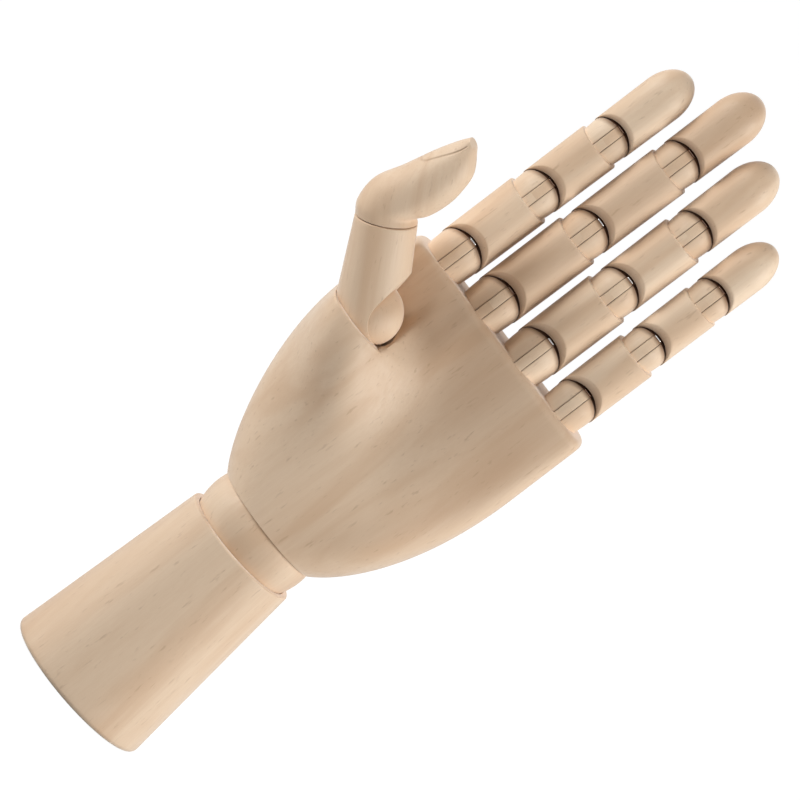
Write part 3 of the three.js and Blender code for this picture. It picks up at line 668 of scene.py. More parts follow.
def cheek_skin(link, sizes, side):
    """Half of a slotted ball. Every level is a circle's segment: an arc closed by the slot's flat face."""
    half = sizes.slot_width / 2
    top = sqrt(link.ball**2 - half**2)
    low = np.linspace(-link.drop - sizes.ball_seat, 0, 10)
    rise = asin(top / link.ball) * (1 - (1 - np.linspace(0, 1, 72)[1:-1]) ** CROWN_CROWDING)
    levels = np.concatenate([low, link.ball * np.sin(rise)])
    collar = link.ball - sizes.collar_taper * (levels / link.drop) ** 2
    reach = np.where(levels < 0, collar, np.sqrt(np.maximum(link.ball**2 - levels**2, 0)))
    chord = np.sqrt(reach**2 - half**2)
    soft = np.minimum(sizes.slot_edge, SLOT_EDGE_SHARE * chord)
    angle = np.arccos(half / reach) - soft / reach
    turns = between(-angle, angle, CHEEK_COLUMNS)
    sweep = np.stack([reach * np.cos(turns), reach * np.sin(turns)], axis=-1)
    flat = np.full_like(chord, half)
    upper, upper_in = np.stack([flat, chord], axis=-1), np.stack([flat, chord - soft], axis=-1)
    lower, lower_in = upper * (1, -1), upper_in * (1, -1)
    outline = np.concatenate([
        sweep,
        soft_corner(sweep[-1], upper, upper_in, 4)[1:],
        soft_corner(upper_in, (upper_in + lower_in) / 2, lower_in, 10)[1:-1],
        soft_corner(lower_in, lower, sweep[0], 4)[:-1],
    ]).swapaxes(0, 1)
    height = np.broadcast_to(levels[:, None, None], (*outline.shape[:2], 1))
    grid = np.concatenate([side * outline, height], axis=-1)
    return closed_skin(grid, last=(side * half, 0, top))


def slab_skin(reach, half, edge):
    """A slab across X whose outline lies at reach(t) from its centre, t from +Y to +Z, with rounded edges."""
    turns = around(SLAB_COLUMNS)
    inset, drop = edge * (1 - np.sin(QUARTER_TURN)), edge * (1 - np.cos(QUARTER_TURN))
    across = np.concatenate([drop - half, (half - drop)[::-1]])
    radius = reach(turns) - np.concatenate([inset, inset[::-1]])[:, None]
    across = np.broadcast_to(across[:, None], radius.shape)
    grid = np.stack([across, radius * np.cos(turns), radius * np.sin(turns)], axis=-1)
    return closed_skin(grid, first=(-half, 0, 0), last=(half, 0, 0))


def tongue_skin(link, sizes):
    """A disc in the ball's slot with a shank that rises into the link."""
    disc = link.ball - sizes.strip_drop
    top = link.ball + sizes.run_gap + sizes.shank_depth

    def reach(turns):
        """The disc's radius, or the way to the shank's outline where that is farther."""
        rise = np.maximum(np.sin(turns), TINY)
        shank = np.minimum(sizes.shank_width / 2 / np.maximum(np.abs(np.cos(turns)), TINY), top / rise)
        return np.maximum(disc, np.where(np.sin(turns) > 0, shank, 0))

    return slab_skin(reach, sizes.strip_width / 2, sizes.strip_edge)


def rod_skin(radius, half, centre):
    """A short rod across X with rounded ends."""
    bend = np.radians(np.linspace(10, 90, 6))
    rounds = np.concatenate([np.sin(bend), np.sin(bend)[::-1]]) * radius
    across = np.concatenate([-half + radius * (1 - np.cos(bend)), half - radius * (1 - np.cos(bend))[::-1]])
    turns = around(ROD_COLUMNS)
    grid = np.stack([
        np.broadcast_to(across[:, None], (len(across), len(turns))),
        rounds[:, None] * np.cos(turns),
        rounds[:, None] * np.sin(turns),
    ], axis=-1)
    return closed_skin(grid + centre, first=centre - (half, 0, 0), last=centre + (half, 0, 0))


def finger_link(finger, i, sizes):
    """Sizes of one link, read from its solid and its joints."""
    bend = f"{finger}_{JOINT_WORDS[i]}_bend"
    at, axes = joint_at(bend), bend_axes(bend)
    low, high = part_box(f"{finger}_{LINK_WORDS[i]}")
    far = (high.y - low.y) / 2 / MM / cos(pi / SOLID_SIDES)
    near = far - sizes.link_taper / 2
    if i < 2:
        reach = np.linalg.norm(joint_at(f"{finger}_{JOINT_WORDS[i + 1]}_bend") - at)
    else:
        reach = (high.z / MM - at[2]) / axes[2][2]
    return SimpleNamespace(
        place=Place(at, axes),
        far=far,
        near=near,
        ball=near - sizes.lip_wall - sizes.run_gap,
        length=reach,
        drop=sizes.rim_drop if i else sizes.knuckle_drop,
        bevel=BEVELS[i],
        is_tip=i == 2,
    )


def make_ball(name, link, sizes, body, tone):
    """A slotted ball: two cheeks, and the webs that close the slot below the tongue."""
    cheeks = [grooved(link, sizes, cheek_skin(link, sizes, side)) for side in (1, -1)]
    webs = [web_skin(link, sizes, side) for side in (1, -1)]
    shade = partial(ball_shade, link, sizes)
    solid = f"{name}_ball"
    make_piece(f"slotted_{solid}", cheeks + webs, link.place, body, [solid], tone=tone, crease=shade)


def make_tongue(name, link, sizes, body, tone):
    """The tongue in a ball's slot, and the wire staple across it."""
    skin = grooved(link, sizes, tongue_skin(link, sizes))
    shade = partial(end_shade, link, sizes)
    solid = f"{name}_tongue"
    make_piece(f"sawn_{solid}", [skin], link.place, body, [solid], "inner_wood", tone=tone, crease=shade)
    sunk = link.ball - sizes.strip_drop - sizes.staple_width / 2
    rise = link.bevel + STAPLE_ABOVE
    spot = sunk * np.array([0, -cos(rise), sin(rise)])
    staple = rod_skin(sizes.staple_width / 2, sizes.staple_length / 2, spot)
    # Staples not listed as bright are darkened by a painted shade
    staple_shade = 0.0 if name in BRIGHT_STAPLES else SHADED_STAPLE
    make_piece(f"wire_{name}_staple", [staple], link.place, body, slot="steel", tone=staple_shade)


# Palm, about the wrist ball's centre


def side_curve(rim, flare, bend, widest, sign):
    """Heights and distances along a cubic curve from the wrist's rim to the palm's widest place."""
    t = np.linspace(0, 1, 200)[:, None]
    points = [
        (sign * rim, PALM_RIM_HEIGHT),
        (sign * (rim + flare[0]), PALM_RIM_HEIGHT + flare[1]),
        (widest, PALM_WIDEST_HEIGHT - bend),
        (widest, PALM_WIDEST_HEIGHT),
    ]
    a, b, c, d = (np.array(point, float) for point in points)
    curve = (1 - t) ** 3 * a + 3 * t * (1 - t) ** 2 * b + 3 * t**2 * (1 - t) * c + t**3 * d
    return curve[:, 1], curve[:, 0]


def bump(swell, from_x, from_z):
    """A rounded swell: depth times e to the minus squared distances."""
    return swell["depth"] * np.exp(-((from_x / swell["width"]) ** 2) - (from_z / swell["length"]) ** 2)


def bump_at(swell, x, z):
    """A rounded swell about its own place."""
    return bump(swell, x - swell["x"], z - swell["z"])


def palm_swell(x, z, side):
    """How much deeper the front is than its plain oval: ball of the thumb plus heel minus hollow."""
    from_ridge = x - THUMB_PLACE[0] - THENAR["slant"] * (SHOULDER_HEIGHT - z)
    full = np.where(from_ridge < 0, np.exp(-(((z - SHOULDER_HEIGHT) / FULL_LENGTH) ** 2)), 0)
    fuller = from_ridge * ((1 - full) + full * np.abs(from_ridge) / THENAR["width"])
    thenar = bump(THENAR, fuller, z - SHOULDER_HEIGHT)
    swell = thenar + bump_at(HEEL, x, z) - bump_at(HOLLOW, x, z)
    return swell * (1 - np.abs(side) ** (SIDE_FADE + FULL_FADE * full))


def palm_skin(sizes):
    """The palm as one closed skin: wrist seat, rising ovals, the thumb's shoulder, recess and knuckle edge.

    A level is an oval |x|^p + |y|^p = 1 between the two side curves, deepened at the front by the swells
    and held back above the shoulder by a sloping floor.
    """
    seat = sizes.wrist_radius + sizes.wrist_gap
    rim = sqrt(seat**2 - PALM_RIM_HEIGHT**2) + sizes.palm_rim_wall
    left_z, left_x = side_curve(rim, LEFT_FLARE, LEFT_BEND, PALM_LEFT, -1)
    right_z, right_x = side_curve(rim, RIGHT_FLARE, RIGHT_BEND, PALM_RIGHT, 1)
    turns = around(PALM_COLUMNS)
    turns = turns - PALM_CROWDING * np.sin(2 * turns)
    side = np.cos(turns)
    at_front = np.sin(turns) < 0
    below_shoulder = SHOULDER_HEIGHT - sizes.shoulder_edge
    above_shoulder = SHOULDER_HEIGHT + sizes.shoulder_fillet

    def level(z, inset):
        """The oval at a height: x of each column, its depth at the front and back, and the floor's depth."""
        share = smooth_step((z - PALM_RIM_HEIGHT) / (PALM_TOP - PALM_RIM_HEIGHT))
        above = np.maximum(0, z - PALM_WIDEST_HEIGHT) / (PALM_TOP - PALM_WIDEST_HEIGHT)
        left = np.interp(z, left_z, left_x) + PALM_SHOULDER_FLARE * above + inset
        right = np.interp(z, right_z, right_x) - inset
        power = 2 + PALM_SQUARENESS * share
        x = (left + right) / 2 + (right - left) / 2 * side
        bulge = np.maximum(0, 1 - np.abs(side) ** power) ** (1 / power)
        front = (rim + (PALM_KNUCKLE_FRONT - rim) * share - inset) * bulge + palm_swell(x, z, side)
        back = (rim + (PALM_KNUCKLE_BACK - rim) * share - inset) * bulge
        past = -smooth_min(0, THUMB_PLACE[0] + FLOOR_REACH - x, FLOOR_TURN)
        floor = FLOOR_DEPTH + FLOOR_RISE * (z - SHOULDER_HEIGHT) + past
        return x, front, back, floor

    def recess(x, z, front, floor):
        """Depth of the front at the thumb: the floor behind it, and a soft ramp beside its ball."""
        below = np.minimum(0, z - THUMB_PLACE[2])
        outline = np.sqrt(np.maximum(0, sizes.thumb_cup**2 - below**2))
        beside = smooth_step((x - THUMB_PLACE[0] - outline - RAMP_START) / RAMP_WIDTH)
        ramp_in = smooth_step((z - RAMP_HEIGHT) / RAMP_LENGTH)
        behind = smooth_min(front, floor, FLOOR_BLEND)
        softly = front + (rounded_min(front, floor, RAMP_ROUND) - front) * ramp_in
        return behind + (softly - behind) * beside

    def rows(z, inset, recessed):
        """Points of the ovals at these heights, with the recess at the thumb or without."""
        z, inset = np.broadcast_arrays(z, inset)
        x, front, back, floor = level(z, inset)
        if recessed:
            front = recess(x, z, front, floor)
        y = np.where(at_front, -front, back)
        return np.stack([x, y, np.broadcast_to(z, x.shape)], axis=-1)

    def shoulder():
        """Rows over the shoulder: a rounded edge, the flat, and a fillet up into the recess."""
        bend = np.radians(np.linspace(0, 90, 6))[:, None]
        x, front, _, floor = level(np.array([[SHOULDER_HEIGHT]]), 0)
        inner = recess(x, SHOULDER_HEIGHT, front, floor)
        over = front - inner
        edge = np.minimum(sizes.shoulder_edge, SHOULDER_EDGE_SHARE * over)
        fillet = np.minimum(sizes.shoulder_fillet, SHOULDER_EDGE_SHARE * over)
        flat = between(front[0] - edge[0], inner[0] + fillet[0], 14, ends=False)
        depths = np.concatenate([
            front - edge * (1 - np.cos(bend)),
            flat,
            inner + fillet * (1 - np.sin(bend)),
        ])
        heights = SHOULDER_HEIGHT + np.concatenate([
            edge * (np.sin(bend) - 1),
            np.zeros_like(flat),
            fillet * (1 - np.cos(bend)),
        ])
        even = between(below_shoulder, above_shoulder, len(depths))
        share = smooth_step(over / SHOULDER_MERGE) * at_front
        heights = even + (heights - even) * share
        x, front, back, floor = level(heights, 0)
        plain = recess(x, heights, front, floor)
        y = np.where(at_front, -(plain + (depths - plain) * share), back)
        return np.stack([x, y, heights], axis=-1)

    ring = np.stack([np.cos(turns), np.sin(turns)], axis=-1)
    rim_height = PALM_RIM_HEIGHT - PALM_RIM_TILT * np.sin(turns)
    rise = between(radians(NEAR_POLE), np.arcsin(rim_height / seat), 24)
    seat_rows = seat * np.concatenate([np.cos(rise)[..., None] * ring, np.sin(rise)[..., None]], axis=-1)
    edge_start = PALM_TOP - sizes.knuckle_edge
    bend = np.radians(np.linspace(0, 90, 9))[1:, None]
    top = rows(edge_start + sizes.knuckle_edge * np.sin(bend), sizes.knuckle_edge * (1 - np.cos(bend)), True)
    middle = np.array([(PALM_LEFT + PALM_RIGHT) / 2, 0, PALM_TOP])
    shrink = np.array([0.75, 0.5, 0.25])[:, None, None]
    climb = np.linspace(0, 1, 90)[:-1, None] ** PALM_ROW_CROWDING
    grid = np.concatenate([
        seat_rows,
        rows(rim_height + (below_shoulder - rim_height) * climb, 0, False),
        shoulder(),
        rows(between(above_shoulder, edge_start, 46)[1:], 0, True),
        top,
        middle + (top[-1:] - middle) * shrink,
    ])
    return closed_skin(grid, first=(0, 0, seat), last=middle)


def palm_browning_and_shade(points):
    """Browner by two swells: in the hollow behind the thumb partly browner wood and partly painted shade, and a
    painted shade in a streak below the little finger.
    """
    x, _, z = points.T
    return PALM_TONE + bump_at(HOLLOW_BROWN_AND_SHADE, x, z) + bump_at(STREAK_SHADE, x, z)


# Thumb, about its ball's centre with the thumb along +Z and the palm towards +X


def thumb_solid(sizes, gap):
    """The thumb's lower piece as a full solid: a round cup that narrows to the seam, grown by a gap."""
    cup, seam, top = sizes.thumb_cup + gap, sizes.thumb_seam + gap, sizes.thumb_length + gap
    edge = sizes.seam_edge
    heights = np.linspace(0, top - edge, 24)[1:]
    cone = np.stack([cup + (seam - cup) * heights / top, heights], axis=-1)
    rim = arc((seam - edge, top - edge), edge, 0, 90, 5)[1:]
    face = [(share * seam, top) for share in (0.6, 0.2)]
    profile = np.concatenate([arc((0, 0), cup, -NEAR_POLE, 0, 30), cone, rim, face])
    return closed_skin(lathe(profile, THUMB_COLUMNS), first=(0, 0, -cup), last=(0, 0, top))


def sphere_skin(radius, columns):
    """A ball, half as many rows as columns."""
    grid = lathe(arc((0, 0), radius, -NEAR_POLE, NEAR_POLE, columns // 2), columns)
    return closed_skin(grid, first=(0, 0, -radius), last=(0, 0, radius))


def opening_skin():
    """Prism across Y that opens the cup at its palm side: a rounded corner between two straight sides."""
    far = 40.0
    corner = np.array(THUMB_OPENING)
    up = np.array([cos(THUMB_OPENING_RISE), sin(THUMB_OPENING_RISE)])
    down = np.array([THUMB_OPENING_DRIFT, -1]) / np.hypot(THUMB_OPENING_DRIFT, 1)
    bend = soft_corner(corner + THUMB_OPENING_ROUND * down, corner, corner + THUMB_OPENING_ROUND * up, 24)
    outline = np.concatenate([[[far, -far]], [corner + far * down], bend, [corner + far * up]])[::-1]
    x, z = outline.T
    rings = [np.stack([x, np.full(len(outline), y), z], axis=-1) for y in (far / 2, -far / 2)]
    return closed_skin(np.stack(rings))


def swing_skin(sizes):
    """The space that the thumb's tongue sweeps: a disc with a fan from the rest angle to the closed one."""
    swing = radians(-JOINTS["thumb_swing"]["range_deg"][0])
    foot = THUMB.to_local(THUMB.origin - HAND_AXES[2])
    rest = np.arctan2(foot[2], foot[0])
    reach_out = sizes.thumb_cup + SWEEP_PAST_CUP

    def reach(turns):
        """The disc's radius, or the way to the outline of a bar turned through the swing."""
        off = (turns - rest + pi) % (2 * pi) - pi
        beyond = np.where(off > swing, off - swing, np.where(off < 0, -off, 0))
        bar = SWEEP_HALF_BAR / np.maximum(np.sin(np.minimum(beyond, pi / 2)), TINY)
        return np.maximum(SWEEP_DISC, np.minimum(bar, reach_out))

    points, faces = slab_skin(reach, SWEEP_HALF_WIDTH, SWEEP_EDGE)
    return points[:, [1, 0, 2]] * (1, -1, 1), faces


def tip_points(shares, turns, reach=1.0):
    """Points on the tip's ovals: nail + (pad - nail)(1 + cos t) / 2 in its plane, width sin t beside."""
    nail, pad = catmull_rom(TIP_NAIL_SIDE, shares), catmull_rom(TIP_PAD_SIDE, shares)
    flat = nail + (pad - nail) * ((1 + reach * np.cos(turns)) / 2)[..., None]
    side = reach * catmull_rom(TIP_HALF_WIDTHS, shares)[..., 0] * np.sin(turns)
    return np.stack([flat[..., 0], side, flat[..., 1]], axis=-1)


def nail_path():
    """The line round the nail: across its root and along both sides towards the end."""
    along = np.linspace(0, 1, 60)
    shares = NAIL_START + NAIL_ROOT_BEND + (NAIL_END - NAIL_START - NAIL_ROOT_BEND) * along
    angles = NAIL_ANGLES[0] + (NAIL_ANGLES[1] - NAIL_ANGLES[0]) * along
    root = np.linspace(-1, 1, 40)
    root_shares = NAIL_START + NAIL_ROOT_BEND * root**4
    root_angles = NAIL_ANGLES[0] * root
    shares = np.concatenate([shares[::-1], root_shares, shares])
    angles = np.concatenate([-angles[::-1], root_angles, angles])
    return tip_points(shares, pi + angles)


def nail_distance(points):
    """Distance of each point from the nail's line."""
    path = nail_path()
    return np.min(np.linalg.norm(points[:, None, :] - path[None], axis=-1), axis=1)


def nail_shade(sizes, points):
    """Painted shade of the tip along the nail's pressed-in line."""
    width = NAIL_SHADE_WIDTH * sizes.nail_line_width
    return NAIL_SHADE * np.exp(-((nail_distance(points) / width) ** 2))


def tip_skin(sizes):
    """The bent tip: ovals from the seam to the end of the nail, with the nail's line pressed in."""
    turns = around(TIP_COLUMNS)
    along = np.linspace(TIP_FIRST_OVAL, TIP_CLOSING, 120)
    closing = TIP_CLOSING + (1 - TIP_CLOSING) * np.sin(np.linspace(0, pi / 2, 26)[1:])
    shares = np.concatenate([along, closing])
    grid = tip_points(shares[:, None], turns)
    inward = tip_points(shares[:, None], turns, 0.0) - grid
    inward /= np.linalg.norm(inward, axis=-1, keepdims=True)
    distance = nail_distance(grid.reshape(-1, 3)).reshape(grid.shape[:2])
    groove = sizes.nail_line * np.exp(-((distance / sizes.nail_line_width) ** 2))
    grid = grid + inward * groove[..., None]
    seam = np.array([[0.3, 0], [0.7, 0], [1 - sizes.seam_edge / sizes.thumb_seam, 0]]) * sizes.thumb_seam
    seam_rows = lathe(seam, len(turns))
    return closed_skin(np.concatenate([seam_rows, grid]))


# Finishes


def plug(tree, value, socket):
    """Links an output to a socket, or sets the socket to a plain value."""
    if isinstance(value, bpy.types.NodeSocket):
        tree.links.new(value, socket)
    else:
        socket.default_value = value


def node(tree, kind, *ordered, **named):
    """A node with inputs given in order or by name; an underscore in a name stands for a space."""
    made = tree.nodes.new(kind)
    for place, value in enumerate(ordered):
        plug(tree, value, made.inputs[place])
    for name, value in named.items():
        plug(tree, value, made.inputs[name.replace("_", " ")])
    return made


def calculate(tree, operation, first, second):
    """The result of one sum on two values."""
    made = node(tree, "ShaderNodeMath", first, second)
    made.operation = operation
    return made.outputs[0]


def stretch(tree, vector, scale):
    """A vector multiplied along each axis."""
    made = node(tree, "ShaderNodeVectorMath", vector, scale)
    made.operation = "MULTIPLY"
    return made.outputs[0]


def ramp(tree, value, low, high, to_low=0.0, to_high=1.0):
    """A value mapped smoothly from one range to another."""
    made = node(tree, "ShaderNodeMapRange", value, low, high, to_low, to_high)
    made.interpolation_type = "SMOOTHSTEP"
    return made.outputs[0]


def blend_colours(tree, share, first, second):
    """A mix of two colours, by the Mix node's factor and its two colour sockets."""
    made = tree.nodes.new("ShaderNodeMix")
    made.data_type = "RGBA"
    for value, socket in ((share, made.inputs[0]), (first, made.inputs[6]), (second, made.inputs[7])):
        plug(tree, value, socket)
    return made.outputs[2]


def seen_white(tree):
    """1 for the rays that show the white surroundings: from the camera, and from mirrors and glass."""
    path = tree.nodes.new("ShaderNodeLightPath")
    mirrored = calculate(tree, "MAXIMUM", path.outputs["Is Glossy Ray"], path.outputs["Is Transmission Ray"])
    return calculate(tree, "MAXIMUM", path.outputs["Is Camera Ray"], mirrored)


def opaque(values):
    """A colour with its alpha."""
    return (*values, 1.0)


def grey(value):
    """An even grey with its alpha."""
    return opaque([value] * 3)


def wood_figure():
    """Node group for wood: growth bands, fibres and short pores along Z of the given coordinates."""
    name = "Wood figure"
    if name in bpy.data.node_groups:
        return bpy.data.node_groups[name]
    tree = bpy.data.node_groups.new(name, "ShaderNodeTree")
    tree.interface.new_socket("Grain", in_out="INPUT", socket_type="NodeSocketVector")
    for output in FIGURE:
        tree.interface.new_socket(output, in_out="OUTPUT", socket_type="NodeSocketFloat")
    grain = tree.nodes.new("NodeGroupInput").outputs[0]
    result = tree.nodes.new("NodeGroupOutput")
    for output, look in FIGURE.items():
        place = stretch(tree, grain, look["often"])
        detail, rough, distort = look["noise"]
        noise = node(
            tree, "ShaderNodeTexNoise", Vector=place, Scale=1.0,
            Detail=detail, Roughness=rough, Distortion=distort,
        )
        tree.links.new(ramp(tree, noise.outputs[0], *look["range"]), result.inputs[output])
    return tree


def new_material(name):
    """A material with its node tree emptied, and its output."""
    material = bpy.data.materials.new(name)
    material.use_nodes = True
    tree = material.node_tree
    tree.nodes.clear()
    return material, tree, tree.nodes.new("ShaderNodeOutputMaterial")


def attribute(tree, name, output):
    """An output that reads what the mesh stores under a name."""
    made = tree.nodes.new("ShaderNodeAttribute")
    made.attribute_name = name
    return made.outputs[output]


def wood_nodes(tree, grain, light, dark):
    """Figure of the wood, and its colour between a light and a darker one with fibres."""
    figure = tree.nodes.new("ShaderNodeGroup")
    figure.node_tree = wood_figure()
    tree.links.new(grain, figure.inputs[0])
    banded = blend_colours(tree, figure.outputs["Bands"], light, dark)
    veiled = calculate(tree, "MULTIPLY", figure.outputs["Fibres"], FIBRE_VEIL)
    return figure, blend_colours(tree, veiled, banded, dark)


def toned(tree, plain, brown):
    """A colour made browner, or darker by painted shade, by an amount stored in the mesh."""
    return blend_colours(tree, attribute(tree, "tone", "Fac"), plain, opaque(brown))


def wood_shader(tree, figure, plain, dark, smooth, rough, relief):
    """Wood of a colour with painted shade where the mesh stores it, and roughness and relief along its fibres."""
    with_painted_shade = blend_colours(tree, attribute(tree, "crease", "Fac"), plain, opaque(dark))
    fibres = figure.outputs["Fibres"]
    roughness = ramp(tree, fibres, 0.0, 1.0, smooth, rough)
    raised = node(tree, "ShaderNodeBump", Strength=relief, Distance=FIBRE_RELIEF, Height=fibres).outputs[0]
    return node(tree, "ShaderNodeBsdfPrincipled", Base_Color=with_painted_shade, Roughness=roughness, Normal=raised)


def satin_wood(tree, colours):
    """Turned and waxed wood of the visible pieces."""
    grain = attribute(tree, "grain", "Vector")
    figure, plain = wood_nodes(tree, grain, opaque(colours.pale), opaque(colours.grain))
    pores = calculate(tree, "MULTIPLY", figure.outputs["Pores"], PORE_VEIL)
    flecked = blend_colours(tree, pores, toned(tree, plain, colours.brown), opaque(colours.fleck))
    shader = wood_shader(tree, figure, flecked, colours.dark, smooth=0.5, rough=0.62, relief=0.1)
    shader.inputs["Specular IOR Level"].default_value = 0.35
    shader.inputs["Sheen Weight"].default_value = 0.5
    shader.inputs["Sheen Roughness"].default_value = 0.4
    return shader


def sawn_wood(tree, colours):
    """Unpolished wood of the tongues and dowels."""
    grain = tree.nodes.new("ShaderNodeTexCoord").outputs["Object"]
    figure, plain = wood_nodes(tree, grain, opaque(colours.sawn), opaque(colours.grain))
    browner = toned(tree, plain, colours.brown)
    return wood_shader(tree, figure, browner, colours.dark, smooth=0.6, rough=0.75, relief=0.25)


def drawn_steel(tree, colours):
    """Steel wire with faint lines along X from drawing, darkened where the mesh stores a painted shade."""
    place = stretch(tree, tree.nodes.new("ShaderNodeTexCoord").outputs["Object"], STEEL_OFTEN)
    lines = node(tree, "ShaderNodeTexNoise", Vector=place, Scale=1.0, Detail=2.0).outputs[0]
    dim = opaque([STEEL_DIM * value for value in colours.steel])
    drawn = blend_colours(tree, lines, opaque(colours.steel), dim)
    # Painted shade that darkens the staples not listed as bright
    shade = toned(tree, drawn, colours.dark)
    rough = ramp(tree, lines, 0.3, 0.7, 0.2, 0.36)
    return node(tree, "ShaderNodeBsdfPrincipled", Base_Color=shade, Roughness=rough, Metallic=1.0)


SLOTS = {
    "wood": ("satin wood", satin_wood),
    "inner_wood": ("sawn wood", sawn_wood),
    "steel": ("drawn steel", drawn_steel),
}


def material_of(slot):
    """The material of a slot, made when it is first asked for."""
    name, shader_of = SLOTS[slot]
    if name in bpy.data.materials:
        return bpy.data.materials[name]
    material, tree, result = new_material(name)
    shader = shader_of(tree, bpy.context.scene.hand_finishes)
    tree.links.new(shader.outputs[0], result.inputs[0])
    return material


# Operators


class HAND_OT_forearm(Operator):
    """Turned forearm with a flat foot, a seat for the wrist ball and a bore"""

    bl_idname = "hand.forearm"
    bl_label = "Forearm"

    def execute(self, context):
        sizes = in_mm(context.scene.hand_blocks)
        low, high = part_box("forearm")
        base, height = (high.x - low.x) / 2 / MM, high.z / MM
        rise = HAND.origin[2] - height
        seat = sizes.wrist_radius + sizes.wrist_gap
        top = sqrt(seat**2 - rise**2) + sizes.rim_wall
        bore = sizes.spigot_radius + sizes.wrist_gap
        floor = HAND.origin[2] - sizes.wrist_radius - sizes.spigot_length - sizes.wrist_gap
        share = np.linspace(0, 1, 40)[1:]
        wall_height = sizes.foot_edge + (height - sizes.rim_edge - sizes.foot_edge) * share
        seat_end = -np.degrees(acos(bore / seat))
        profile = np.concatenate([
            [[0.3 * base, 0], [0.8 * base, 0]],
            arc((base - sizes.foot_edge, sizes.foot_edge), sizes.foot_edge, -90, 0, 8),
            np.stack([base + (top - base) * share, wall_height], axis=-1),
            arc((top - sizes.rim_edge, height - sizes.rim_edge), sizes.rim_edge, 0, 90, 7)[1:],
            arc((0, HAND.origin[2]), seat, -np.degrees(asin(rise / seat)), seat_end, 24),
            [[bore, floor + sizes.spigot_length / 2], [bore, floor], [0.4 * bore, floor]],
        ])
        skin = closed_skin(lathe(profile, TURNED_COLUMNS), first=(0, 0, 0), last=(0, 0, floor))
        place = Place((0, 0, 0), UPRIGHT)
        make_piece("turned_forearm", [skin], place, "forearm", ["forearm"], tone=FOREARM_TONE)
        return {"FINISHED"}


class HAND_OT_wrist(Operator):
    """Wrist ball with its spigot, and a pocket for the tongue that is hidden in the palm"""

    bl_idname = "hand.wrist"
    bl_label = "Wrist ball"

    def execute(self, context):
        sizes = in_mm(context.scene.hand_blocks)
        radius, spigot, pocket = sizes.wrist_radius, sizes.spigot_radius, sizes.pocket_radius
        end = -radius - sizes.spigot_length
        meet = np.degrees(acos(spigot / radius))
        top, floor = radius * sin(radians(WRIST_CROWN)), -sizes.pocket_depth
        profile = np.concatenate([
            [[0.5 * spigot, end], [spigot - SPIGOT_BEVEL, end], [spigot, end + SPIGOT_BEVEL]],
            arc((0, 0), radius, -meet, WRIST_CROWN, 60),
            [[pocket, top], [pocket, 0], [pocket, floor], [0.4 * pocket, floor]],
        ])
        skin = closed_skin(lathe(profile, TURNED_COLUMNS), first=(0, 0, end), last=(0, 0, floor))
        place = Place(HAND.origin, UPRIGHT)
        make_piece("turned_wrist_ball", [skin], place, "wrist_ball", ["wrist_ball"], tone=WRIST_TONE)
        return {"FINISHED"}


class HAND_OT_palm(Operator):
    """Carved palm with the thumb's round seat in its shoulder"""

    bl_idname = "hand.palm"
    bl_label = "Palm"

    def execute(self, context):
        sizes = in_mm(context.scene.hand_blocks)
        seat = (thumb_solid(sizes, sizes.thumb_seat_gap), THUMB)
        make_piece("carved_palm", [palm_skin(sizes)], HAND, "palm", ["palm"], tone=palm_browning_and_shade, cuts=[seat])
        return {"FINISHED"}


class HAND_OT_fingers(Operator):
    """Links, slotted balls, tongues and wire staples of the four fingers"""

    bl_idname = "hand.fingers"
    bl_label = "Fingers"

    def execute(self, context):
        sizes = in_mm(context.scene.hand_joints)
        for finger in FINGERS:
            tone = FINGER_TONES[finger]
            nearer = "palm"
            for i, joint in enumerate(JOINT_WORDS):
                link = finger_link(finger, i, sizes)
                body = f"{finger}_{BODY_WORDS[i]}"
                name, piece = f"{finger}_{joint}", f"{finger}_{LINK_WORDS[i]}"
                skin, shade = link_skin(link, sizes)
                make_piece(f"turned_{piece}", [skin], link.place, body, [piece], tone=tone, crease=shade)
                make_ball(name, link, sizes, nearer, BALL_TONE_SHARE * tone)
                make_tongue(name, link, sizes, body, BALL_TONE_SHARE * tone)
                nearer = body
        return {"FINISHED"}


class HAND_OT_thumb(Operator):
    """Lower piece, ball and bent tip of the thumb"""

    bl_idname = "hand.thumb"
    bl_label = "Thumb"

    def execute(self, context):
        sizes = in_mm(context.scene.hand_blocks)
        socket = (sphere_skin(sizes.thumb_ball + THUMB_GLUE_GAP, SOCKET_COLUMNS), THUMB)
        slot = (swing_skin(sizes), THUMB)
        make_piece(
            "turned_thumb_base", [thumb_solid(sizes, 0)], THUMB, "thumb_base", ["thumb_base_link"],
            tone=THUMB_TONE, cuts=[socket, (opening_skin(), THUMB), slot],
        )
        ball = sphere_skin(sizes.thumb_ball, THUMB_COLUMNS)
        make_piece(
            "slotted_thumb_ball", [ball], THUMB, "thumb_base", ["thumb_ball"], tone=THUMB_TONE, cuts=[slot]
        )
        place = Place(THUMB.to_part(np.array([0, 0, sizes.thumb_length + sizes.seam_gap])), THUMB_AXES)
        make_piece(
            "carved_thumb_tip", [tip_skin(sizes)], place, "thumb_end", ["thumb_tip"],
            tone=THUMB_TONE, crease=partial(nail_shade, sizes),
        )
        return {"FINISHED"}


class HAND_OT_fittings(Operator):
    """Finishes of the pins, tongues and dowel that stay as their solids"""

    bl_idname = "hand.fittings"
    bl_label = "Fittings"

    def execute(self, context):
        slots = {row["node"]: row["material_slot"] for row in frame["record"]["subparts"]}
        for name, solid in frame["nodes"].items():
            if not solid.hide_render:
                solid.data.materials.clear()
                solid.data.materials.append(material_of(slots[name]))
        return {"FINISHED"}


